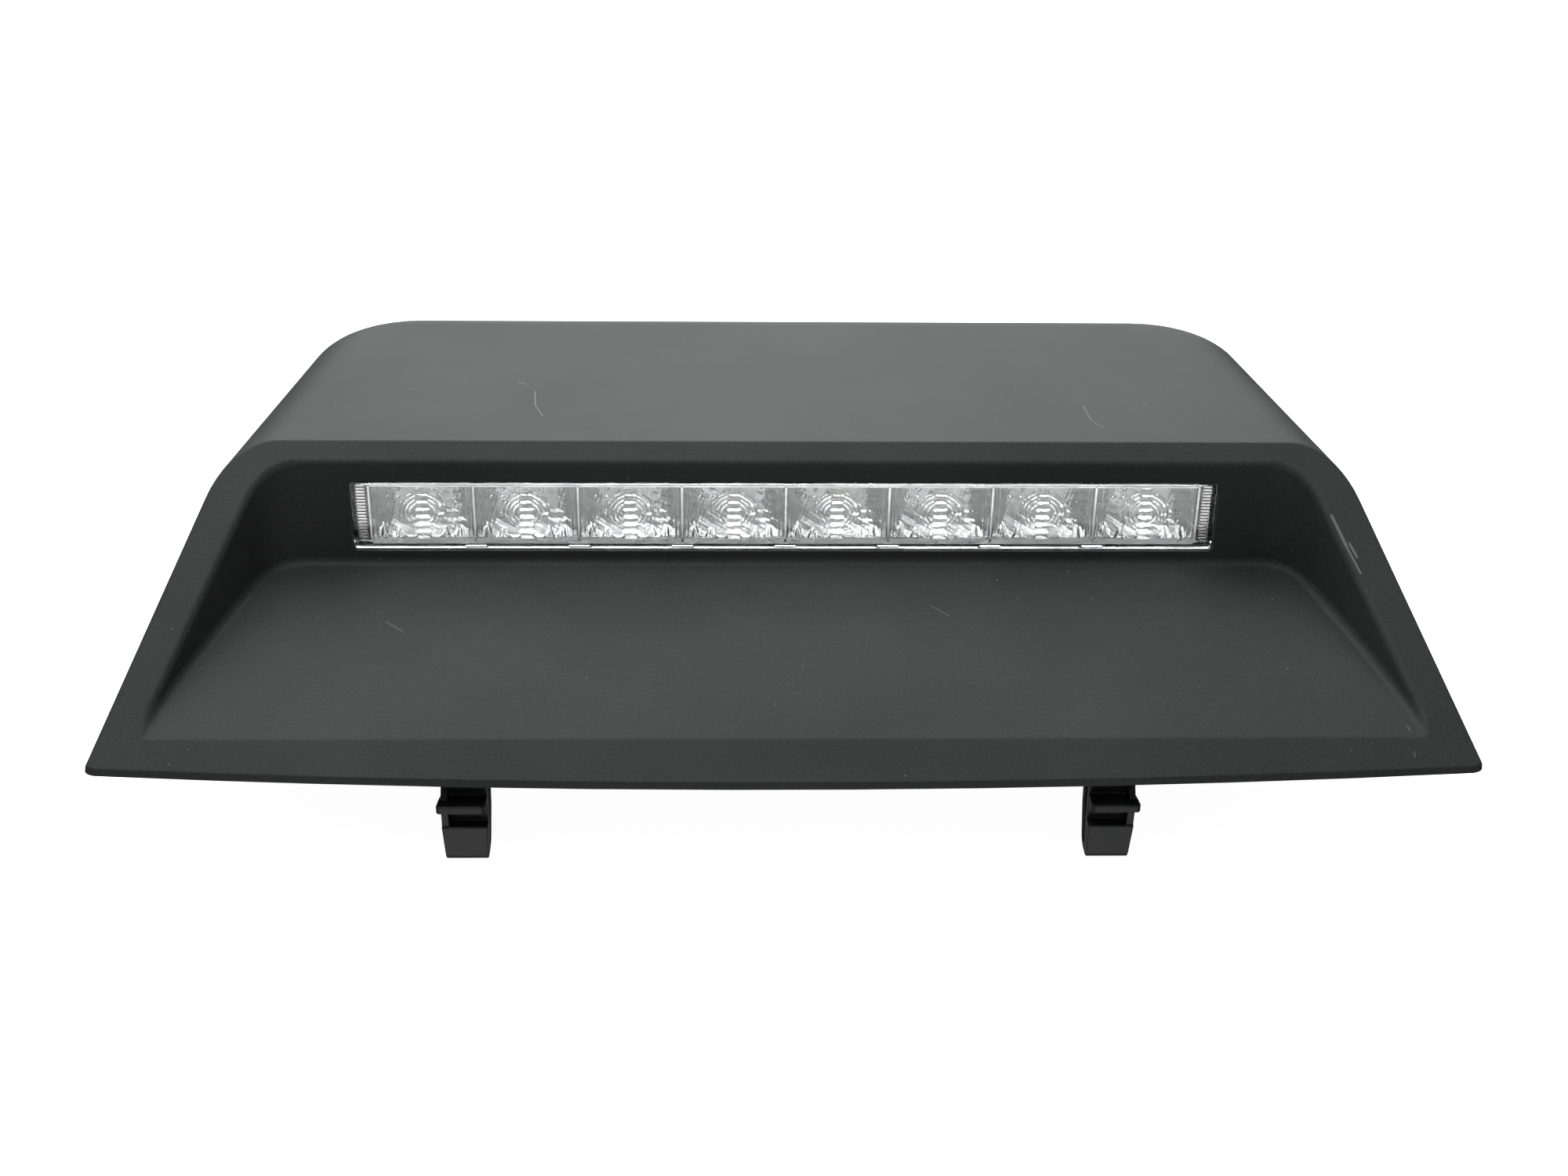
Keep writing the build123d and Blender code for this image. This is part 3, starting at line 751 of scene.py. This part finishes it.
class Row:
    """A Geometry Nodes tree that repeats one part along a straight row."""

    def __init__(self) -> None:
        """Build the tree, with the row's sizes as its inputs."""
        self.tree = bpy.data.node_groups.new("row_of_parts", "GeometryNodeTree")
        self.tree.is_modifier = True
        face = self.tree.interface
        face.new_socket("Geometry", in_out="OUTPUT", socket_type="NodeSocketGeometry")
        self.ids = {
            name: face.new_socket(name, in_out="INPUT", socket_type=kind).identifier
            for name, kind in (
                ("Part", "NodeSocketObject"), ("Count", "NodeSocketInt"),
                ("Start", "NodeSocketVector"), ("Step", "NodeSocketVector"),
                ("Finish", "NodeSocketMaterial"),
            )
        }
        given = self.tree.nodes.new("NodeGroupInput").outputs
        line = add_node(
            self.tree, "GeometryNodeMeshLine",
            {"Count": given["Count"], "Start Location": given["Start"], "Offset": given["Step"]},
            mode="OFFSET",
        ).outputs[0]
        part = add_node(self.tree, "GeometryNodeObjectInfo", {"Object": given["Part"]})
        spread = add_node(
            self.tree, "GeometryNodeInstanceOnPoints",
            {"Points": line, "Instance": part.outputs["Geometry"]},
        ).outputs[0]
        solid = add_node(self.tree, "GeometryNodeRealizeInstances", {0: spread}).outputs[0]
        dressed = add_node(
            self.tree, "GeometryNodeSetMaterial", {"Geometry": solid, "Material": given["Finish"]}
        ).outputs[0]
        add_node(self.tree, "NodeGroupOutput", {0: dressed})

    def repeat(
        self, part: bpy.types.Mesh, count: int, start: Point, step: Point,
        material: bpy.types.Material,
    ) -> bpy.types.Mesh:
        """Repeat a part.

        Args:
            part: The part, centred on the origin.
            count: How many.
            start: Where the first goes, in millimetres.
            step: From each to the next.
            material: Their finish.

        Returns:
            One plain mesh of all of them.
        """
        source = bpy.data.objects.new("part", part)
        host = bpy.data.objects.new("row", bpy.data.meshes.new("row"))
        for thing in (source, host):
            bpy.context.collection.objects.link(thing)
        modifier = host.modifiers.new("row", "NODES")
        modifier.node_group = self.tree
        values = {
            "Part": source, "Count": count, "Start": [c * MM for c in start],
            "Step": [c * MM for c in step], "Finish": material,
        }
        for name, value in values.items():
            modifier[self.ids[name]] = value
        mesh = evaluated(host, part.name + "_row")
        bpy.data.objects.remove(source)
        return mesh


def joined(name: str, meshes: Sequence[bpy.types.Mesh]) -> bpy.types.Mesh:
    """Join meshes that share a finish into one.

    Args:
        name: The new mesh's name.
        meshes: What to join.

    Returns:
        The joined mesh.
    """
    build = bmesh.new()
    for mesh in meshes:
        build.from_mesh(mesh)
    whole = bpy.data.meshes.new(name)
    build.to_mesh(whole)
    build.free()
    for material in meshes[0].materials:
        whole.materials.append(material)
    return whole


# ---- hood ----------------------------------------------------------------------------------------
@dataclass
class Hood:
    """The moulded hood and the foam seal behind its window."""

    skin: GrainedAbs = field(default_factory=GrainedAbs)
    seal: CellFoam = field(default_factory=CellFoam)

    def build(self) -> None:
        """Dress the hood and its seal."""
        dress_node("cover", self.skin.make())
        dress_node("lens_seal", self.seal.make())


# ---- lens and lamp -------------------------------------------------------------------------------
@dataclass
class Lens:
    """The clear lens, the relief behind it, and the bright and dark pieces round the cells."""

    cells: int = 8
    pitch: float = 24.6
    middle: float = 35.6
    face: float = 57.4
    half_x: float = 102.5
    half_z: float = 8.75
    pane: float = 1.5
    wall: float = 0.8
    flange_front: float = 59.7
    flange_rear: float = 61.5
    flange_x: float = 108.0
    flange_z: float = 12.0
    relief_plane: float = 60.3
    relief_back: float = 63.9
    grid: float = 0.2
    inside: float = 0.06  # gap between the pane's back and what stands behind it
    column: float = 1.5  # half the width of the ladder of bars over a diode
    bar_pitch: float = 1.9
    ring_pitch: float = 0.95
    ring_reach: tuple[float, float] = (2.2, 5.9)
    side_rib: float = 0.85
    # Wedges along the foot of a cell: where each stands, its lean, its height and its width.
    flames: Sequence[tuple[float, float, float, float]] = (
        (-10.2, 0.10, 3.4, 0.75), (-8.4, -0.22, 4.6, 0.62), (-6.6, 0.25, 3.2, 0.7),
        (-4.7, -0.12, 2.4, 0.6), (4.4, 0.18, 2.6, 0.6), (6.0, -0.2, 3.8, 0.66),
        (7.7, 0.12, 2.7, 0.75), (9.5, -0.1, 3.5, 0.6),
    )
    foot: float = -7.2  # where the wedges start
    # Small bosses: their place in the cell and their size.
    bosses: Sequence[tuple[float, float, float]] = (
        (-8.3, 6.1, 0.42), (-5.5, 6.2, 0.5), (-8.1, 4.2, 0.38), (-5.6, 4.1, 0.42),
        (4.4, 1.9, 0.5), (4.5, -0.4, 0.4),
    )

    def first_cell(self) -> float:
        """Give the X of the first diode, in millimetres."""
        return -(self.cells - 1) / 2 * self.pitch

    def cover(self, row: Row, material: bpy.types.Material) -> None:
        """Build the moulded clear cover with its flange and its tabs.

        Args:
            row: Repeats parts.
            material: Its finish.
        """
        x, z = self.half_x, self.half_z
        rings = [
            (0.0, x - 0.3, z - 0.3, 0.5), (0.1, x - 0.1, z - 0.1, 0.7), (0.35, x, z, 0.8),
            (self.flange_front - self.face, x, z, 0.8),
            (self.flange_front - self.face, self.flange_x, self.flange_z, 2.0),
            (self.flange_rear - self.face, self.flange_x, self.flange_z, 2.0),
            (self.flange_rear - self.face, x - self.wall, z - self.wall, 0.5),
            (self.pane + 0.3, x - self.wall, z - self.wall, 0.5),
            (self.pane, x - self.wall - 0.3, z - self.wall - 0.3, 0.3),
        ]
        shell = loft("lens_cover", rings, (0.0, self.face, self.middle))
        shell.materials.append(material)
        place_piece(shell, "lens_cover", Body.LAMP, ["outer_lens"])
        tab = loft("tab", [(0.0, 2.5, 0.42, 0.2), (1.6, 2.6, 0.5, 0.2)], (0.0, 0.0, 0.0))
        tabs = row.repeat(
            tab, self.cells - 1, (-3 * self.pitch, self.face + 0.25, self.middle - z - 0.05),
            (self.pitch, 0, 0), material,
        )
        place_piece(tabs, "lens_tabs", Body.LAMP)

    def relief(self, x: np.ndarray, z: np.ndarray) -> np.ndarray:
        """Give the optic's relief in one cell.

        Args:
            x: Across the cell from its diode, in millimetres.
            z: Up the cell from its diode.

        Returns:
            How far the face stands forward, in millimetres.
        """
        def bell(values: np.ndarray, width: float) -> np.ndarray:
            """Give a smooth hump, 1 at 0."""
            return np.exp(-((values / width) ** 2))

        def step(values: np.ndarray, width: float) -> np.ndarray:
            """Give a smooth step from 0 to 1 at 0."""
            return 1 / (1 + np.exp(-4 * values / width))

        def wave(values: np.ndarray, length: float) -> np.ndarray:
            """Give a cosine wave, 1 at 0."""
            return np.cos(2 * np.pi * values / length)

        reach = np.hypot(x, z + 0.3)
        near, far = self.ring_reach
        pillow = 0.55 * np.cos(np.clip(x / 12.3, -1, 1) * np.pi / 2) ** 0.6
        ringed = step(reach - near, 0.3) * step(far - reach, 0.4) * step(z + 2.2, 1.4)
        rings = 0.42 * ringed * (0.5 + 0.5 * wave(reach, self.ring_pitch))
        column = step(self.column - np.abs(x), 0.3)
        bars = 0.22 * column * np.tanh(2.2 * wave(z - 0.4, self.bar_pitch))
        flames = np.zeros_like(x)
        up = z - self.foot
        for middle, lean, tall, wide in self.flames:
            taper = wide * np.clip(1.15 - up / tall, 0.15, 1)
            flames = np.maximum(flames, bell(x - middle - lean * up, taper) * step(tall - up, 0.5))
        bosses = np.zeros_like(x)
        for boss_x, boss_z, size in self.bosses:
            bosses = np.maximum(bosses, bell(np.hypot(x - boss_x, (z - boss_z) * 1.2), size))
        ribs = 0.28 * step(np.abs(x) - 10.4, 0.4) * wave(x, self.side_rib)
        laddered = step(x - 5.6, 0.5) * step(10.2 - x, 0.4) * step(z + 3, 1)
        ladder = 0.1 * laddered * wave(z, 2.4)
        ripple = 0.09 * np.sin(1.9 * x + 0.8 * z) * np.sin(1.1 * z - 0.5 * x)
        ripple += 0.05 * np.sin(4.7 * x + 1.7 * z) * np.sin(3.6 * z - 1.3 * x)
        beside = (1 - column) * (rings + 0.75 * flames + 0.5 * bosses)
        return pillow + beside + bars + ribs + ladder + ripple

    def optic(self, row: Row, material: bpy.types.Material) -> None:
        """Build the inner lens: one cell of relief for each diode.

        Args:
            row: Repeats parts.
            material: Its finish.
        """
        cell = relief_slab(
            "cell", self.pitch / 2 - 0.02, 7.55, self.grid, self.relief,
            self.relief_back - self.relief_plane,
        )
        start = (self.first_cell(), self.relief_plane, self.middle)
        cells = row.repeat(cell, self.cells, start, (self.pitch, 0, 0), material)
        place_piece(cells, "inner_lens_cells", Body.LAMP, ["optic_bar"])

    def end_ribs(self, row: Row, material: bpy.types.Material) -> None:
        """Build the ladder of fine ribs at each end of the lens.

        Args:
            row: Repeats parts.
            material: Their finish.
        """
        rib = loft("rib", [(0.0, 1.1, 0.06, 0.05), (0.5, 1.2, 0.13, 0.1)], (0.0, 0.0, 0.0))
        across, count, below, pitch = 100.5, 19, 7.1, 0.79
        behind = self.face + self.pane + 0.05
        ladders = [
            row.repeat(
                rib, count, (side * across, behind, self.middle - below), (0, 0, pitch), material
            )
            for side in (-1, 1)
        ]
        place_piece(joined("end_ribs", ladders), "lens_end_ribs", Body.LAMP)

    def dividers(self, row: Row, material: bpy.types.Material) -> None:
        """Build the upright bars between the cells.

        Args:
            row: Repeats parts.
            material: Their finish.
        """
        rings = [(0.0, 0.22, 7.4, 0.2), (0.4, 0.5, 7.5, 0.3), (1.1, 0.5, 7.5, 0.3)]
        bar = loft("bar", rings, (0.0, 0.0, 0.0))
        start = (-self.cells / 2 * self.pitch, self.face + self.pane + self.inside, self.middle)
        bars = row.repeat(bar, self.cells + 1, start, (self.pitch, 0, 0), material)
        place_piece(bars, "cell_dividers", Body.LAMP)

    def sills(self, row: Row, material: bpy.types.Material) -> None:
        """Build the bright strips over and under the cells, with two wedges under each diode.

        Args:
            row: Repeats parts.
            material: Their finish.
        """
        front = self.face + self.pane + self.inside
        pieces = []
        for level, half in ((-7.1, 0.8), (7.3, 0.22)):
            rings = [(0.0, 98.0, half * 0.85, 0.05), (0.5, 98.3, half, 0.05)]
            pieces.append(loft("sill", rings, (0.0, front, self.middle + level)))
        wedge = loft("wedge", [(0.0, 0.7, 0.15, 0.1), (0.5, 1.5, 0.55, 0.1)], (0.0, 0.0, 0.0))
        aside, below = 2.9, 6.2
        for side in (-1, 1):
            start = (self.first_cell() + side * aside, front, self.middle - below)
            pieces.append(row.repeat(wedge, self.cells, start, (self.pitch, 0, 0), material))
        whole = joined("bright_sills", pieces)
        # The wedges' faces come from the row on a second slot. Clearing puts them on the first.
        whole.materials.clear()
        whole.materials.append(material)
        place_piece(whole, "cell_sills", Body.LAMP)

    def slabs(self, boxes: Sequence[tuple[float, float, float, float]], front: float, back: float) -> list:
        """Make upright slabs in the lens, from their low and high X and their low and high Z."""
        meshes = []
        for low_x, high_x, low_z, high_z in boxes:
            low_z, high_z = self.middle + low_z, self.middle + high_z
            outline = [(low_x, low_z), (high_x, low_z), (high_x, high_z), (low_x, high_z)]
            meshes.append(to_mesh("slab", *extruded(outline, front, back, 1)))
        return meshes

    def blinds(self, material: bpy.types.Material) -> None:
        """Build the dark wall behind the ribs at each end.

        Args:
            material: Its finish.
        """
        inner, outer, half = 99.0, 101.5, 7.4
        walls = self.slabs(
            [(-outer, -inner, -half, half), (inner, outer, -half, half)],
            self.face + self.pane + 0.7, self.flange_rear,
        )
        whole = joined("end_blinds", walls)
        whole.materials.append(material)
        place_piece(whole, "lens_end_blinds", Body.LAMP)

    def frame_bars(self, material: bpy.types.Material) -> None:
        """Build the bright bars of the reflector that run above and below the cells.

        Args:
            material: Their finish.
        """
        half_length, near, far = 105.0, 7.7, 9.6
        bars = self.slabs(
            [(-half_length, half_length, -far, -near), (-half_length, half_length, near, far)],
            self.flange_rear + 0.1, self.flange_rear + 2.4,
        )
        whole = joined("bright_frame", bars)
        whole.materials.append(material)
        place_piece(whole, "reflector_frame", Body.LAMP)

    def build(self, row: Row) -> None:
        """Build the clear pieces, and the bright and dark ones round the cells.

        Args:
            row: Repeats parts.
        """
        clear = ClearPolycarbonate("polycarbonate_moulded_polished").make()
        inner = ClearPolycarbonate(
            "PMMA_moulded_optic", tint="f1f2f2", ripple_mm=1.5, ripple_depth=0.07
        ).make()
        bright = VacuumMetallised().make()
        dark = MouldedPlastic("ABS_moulded_end_wall", "1d1e1f", "2a2b2c").make()
        self.cover(row, clear)
        self.optic(row, inner)
        self.end_ribs(row, clear)
        self.dividers(row, bright)
        self.sills(row, bright)
        self.blinds(dark)
        self.frame_bars(bright)
        dress_node("reflector", bright)


@dataclass
class Lamp:
    """The housing, the board with its parts, the connector and the screws."""

    finishes: Mapping[str, Finish] = field(
        default_factory=lambda: {
            "lamp_housing": MouldedPlastic("PBT_glass_filled_moulded", "141516", "232426", 0.5, 0.8, 0.03),
            "circuit_board": SolderMask(),
            "led_bodies": ComponentCase("alumina_ceramic_fired", "d9d7cf", "f1efe8", 0.4),
            "led_domes": ClearPolycarbonate("silicone_cast_dome", "fff6e6", 0.05),
            "chip_resistors": ComponentCase("alumina_chip_glazed_black", "0e0e10", "1d1e21", 0.3),
            "protection_diode": ComponentCase("epoxy_transfer_moulded_diode", "151517", "26272a", 0.5),
            "regulator": ComponentCase("epoxy_transfer_moulded_package", "131416", "232427", 0.55),
            "capacitor": ComponentCase("aluminium_drawn_can", "a9adb1", "cfd3d6", 0.28, 1.0, 0.9),
            "connector_socket": MouldedPlastic("PA66_moulded_black", "101113", "1f2022", 0.42),
            "connector_pins": PlatedSteel("brass_pin_tinned", "9c9d99", "cfd0cc", 0.28),
            "housing_screws": PlatedSteel("steel_screw_zinc_plated"),
            "board_screws": PlatedSteel("steel_screw_nickel_plated", "8c8b86", "c2c1bb"),
        }
    )

    def build(self) -> None:
        """Dress every part of the lamp."""
        for node, finish in self.finishes.items():
            dress_node(node, finish.make())


# ---- snap latches --------------------------------------------------------------------------------
@dataclass
class Latch:
    """One sprung latch: a foot, a back leg, a bend and the tongue with its barb and plate."""

    side: int
    body: Body
    across: float = 73.0
    half_width: float = 5.15
    waist: float = 4.75
    voxel: float = 0.17
    hinge_z: float = -22.3
    ledge: float = -14.7
    taper: float = 10.4  # how far below the ledge the sides have drawn in to the waist
    plate_low: float = -9.9
    plate_high: float = -8.0
    plate_reach: float = 0.8

    def profile(self) -> list[tuple[float, float]]:
        """Trace the latch from its side.

        Returns:
            Points in Y and Z, in millimetres.
        """
        def arc(centre: tuple[float, float], radius: float, start: float, end: float, count: int) -> list:
            """Give points round part of a circle, by angle from +Y."""
            angles = [math.radians(start + (end - start) * i / (count - 1)) for i in range(count)]
            return [(centre[0] + radius * math.cos(a), centre[1] + radius * math.sin(a)) for a in angles]

        outer = arc((7.35, -22.2), 2.9, -8, -90, 9)
        outer += arc((4.9, -22.4), 2.7, -90, -168, 9)
        inner = arc((7.2, -22.0), 1.15, -178, -2, 9)
        return [
            (13.2, 0.2), *outer, (1.05, -15.35), (1.0, -14.95), (1.25, self.ledge), (3.95, self.ledge),
            (4.0, -2.4), (4.4, -2.1), (5.7, -2.1), (6.05, -2.5), *inner, (11.2, 0.2),
        ]

    def shell(self, outline: Sequence[tuple[float, float]], low: float, high: float, axis: int) -> tuple:
        """Extrude an outline, mirrored to this latch's side if it has a left and a right."""
        points, faces = extruded(outline, low, high, axis)
        return [(self.side * x, y, z) for x, y, z in points], faces

    def build(self, material: bpy.types.Material) -> None:
        """Build the latch as one moulded skin.

        Args:
            material: Its finish.
        """
        a, w, reach = self.across, self.half_width, self.plate_reach
        plate = [
            (a - w + 1.0, -0.95), (a + w + reach - 0.5, -0.95), (a + w + reach, -0.3),
            (a + w + 0.5, 2.6), (a + w, 5.0), (a - w, 5.0), (a - w, 0.4), (a - w + 0.3, -0.55),
        ]
        pieces = [
            self.shell(self.profile(), a - w, a + w, 0),
            self.shell([(10.75, 0.0), (13.65, 0.0), (13.65, 3.5), (10.75, 3.5)], a - 6.15, a + 6.15, 0),
            self.shell(plate, self.plate_low, self.plate_high, 2),
            self.shell(
                [(1.35, -14.9), (5.0, -14.9), (5.0, -9.7), (1.0, -9.7)], a + w - 1.7, a + w - 0.05, 0
            ),
            self.shell([(4.6, -8.3), (1.2, -8.3), (4.6, -3.4)], a + w - 1.6, a + w - 0.05, 0),
        ]
        points, faces = [], []
        for some, their in pieces:
            faces += [tuple(len(points) + i for i in face) for face in their]
            points += some
        host = bpy.data.objects.new("latch_blank", to_mesh("latch_blank", points, faces))
        bpy.context.collection.objects.link(host)
        skin = host.modifiers.new("skin", "REMESH")
        skin.mode = "VOXEL"
        skin.voxel_size = self.voxel * MM
        ease = host.modifiers.new("ease", "SMOOTH")
        ease.factor, ease.iterations = 0.5, 3
        mesh = evaluated(host, f"{self.body.value}_skin")
        spots = np.empty(len(mesh.vertices) * 3)
        mesh.vertices.foreach_get("co", spots)
        spots = spots.reshape(-1, 3)
        # The sides draw in from half_width at the ledge to waist at the bottom, to leave the tool.
        drop = np.clip((self.ledge * MM - spots[:, 2]) / (self.taper * MM), 0, 1)
        centre = self.side * a * MM
        spots[:, 0] = centre + (spots[:, 0] - centre) * (1 - (1 - self.waist / w) * drop)
        mesh.vertices.foreach_set("co", spots.ravel())
        mesh.shade_smooth()
        mesh.materials.clear()
        mesh.materials.append(material)
        name = "left" if self.side < 0 else "right"
        piece = bpy.data.objects.new(f"{name}_snap_latch", mesh)
        bpy.context.collection.objects.link(piece)
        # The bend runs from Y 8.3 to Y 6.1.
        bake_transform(piece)
        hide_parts(f"{name}_clip", f"{name}_clip_tongue")
        log.info("%s: %d faces, flexes on %s", piece.name, len(mesh.polygons), self.body.value)


# ---- studio --------------------------------------------------------------------------------------
@dataclass
class SoftBox:
    """One square soft light."""

    name: str
    place: Point
    size: float
    power: float
    lens_only: bool = False

    def hang(self, aim: Vector) -> None:
        """Hang the light, turned to a point.

        Args:
            aim: Where it points.
        """
        data = bpy.data.lights.new(self.name, "AREA")
        data.size, data.energy = self.size, self.power
        lamp = bpy.data.objects.new(self.name, data)
        lamp.location = self.place
        lamp.rotation_euler = (aim - Vector(self.place)).to_track_quat("-Z", "Y").to_euler()
        if self.lens_only:
            lamp.visible_diffuse = lamp.visible_glossy = False
        bpy.context.collection.objects.link(lamp)


@dataclass
class Studio:
    """A pale floor that glows by itself, soft lights above and below, and the camera."""

    elevation: float = 28.0
    azimuth: float = -1.99
    roll: float = 0.954
    distance: float = 0.5111
    aim: Vector = field(default_factory=lambda: Vector((-0.74, 40.25, 25.42)) * MM)
    focal: float = 50.4
    reach: float = 3.0
    surround: float = 0.13
    boxes: Sequence[SoftBox] = (
        SoftBox("overhead", (-0.15, 0.75, 1.1), 1.3, 17.0),
        SoftBox("behind", (0.1, 1.5, 0.55), 1.2, 7.0),
        SoftBox("bounce", (-0.05, -0.5, -0.5), 0.7, 1.0),
        SoftBox("fill", (-0.25, -0.35, 1.2), 0.5, 4.4),
        SoftBox("front", (0.0, -1.1, 0.9), 1.1, 70.0, lens_only=True),
    )

    def camera(self) -> None:
        """Stand the camera in front of the lens, a little above it."""
        rise, turn = math.radians(self.elevation), math.radians(self.azimuth)
        back = Vector(
            (math.sin(turn) * math.cos(rise), -math.cos(turn) * math.cos(rise), math.sin(rise))
        )
        facing = back.to_track_quat("Z", "Y").to_matrix()
        facing = facing @ Matrix.Rotation(math.radians(self.roll), 3, "Z")
        data = bpy.data.cameras.new("view")
        data.lens = self.focal
        data.clip_start = 0.01
        camera = bpy.data.objects.new("view", data)
        camera.matrix_world = Matrix.Translation(self.aim + back * self.distance) @ facing.to_4x4()
        bpy.context.collection.objects.link(camera)
        bpy.context.scene.camera = camera

    def floor(self) -> None:
        """Lay a plain pale floor under the latches."""
        mesh = bpy.data.meshes.new("floor")
        reach, level = self.reach, CAD_BOX[0][2] - 0.2 * MM
        signs = ((-1, -1), (1, -1), (1, 1), (-1, 1))
        corners = [(reach * x, reach * y, level) for x, y in signs]
        mesh.from_pydata(corners, [], [(0, 1, 2, 3)])
        mesh.materials.append(LightTable().make())
        floor = bpy.data.objects.new("floor", mesh)
        floor.visible_diffuse = floor.visible_glossy = floor.visible_shadow = False
        bpy.context.collection.objects.link(floor)

    def lights(self) -> None:
        """Hang soft lights round the lamp, in an even and dim white surround."""
        world = bpy.data.worlds.new("studio")
        bpy.context.scene.world = world
        world.use_nodes = True
        backdrop = world.node_tree.nodes["Background"]
        backdrop.inputs["Color"].default_value = (1.0, 1.0, 1.0, 1.0)
        backdrop.inputs["Strength"].default_value = self.surround
        for box in self.boxes:
            box.hang(self.aim)

    def build(self) -> None:
        """Set up camera, floor and lights."""
        bpy.context.scene.view_settings.view_transform = "Standard"
        self.camera()
        self.floor()
        self.lights()


def main() -> None:
    """Build the studio, then every sub-assembly."""
    logging.basicConfig(level=logging.INFO, format="%(message)s")
    Studio().build()
    row = Row()
    Hood().build()
    Lens().build(row)
    Lamp().build()
    nylon = MouldedPlastic("PA66_moulded_polished", "1f2023", "2d2e31", 0.3, 0.9, 0.01).make()
    for side, body in ((-1, Body.LEFT), (1, Body.RIGHT)):
        Latch(side, body).build(nylon)


if __name__ == "__main__":
    main()
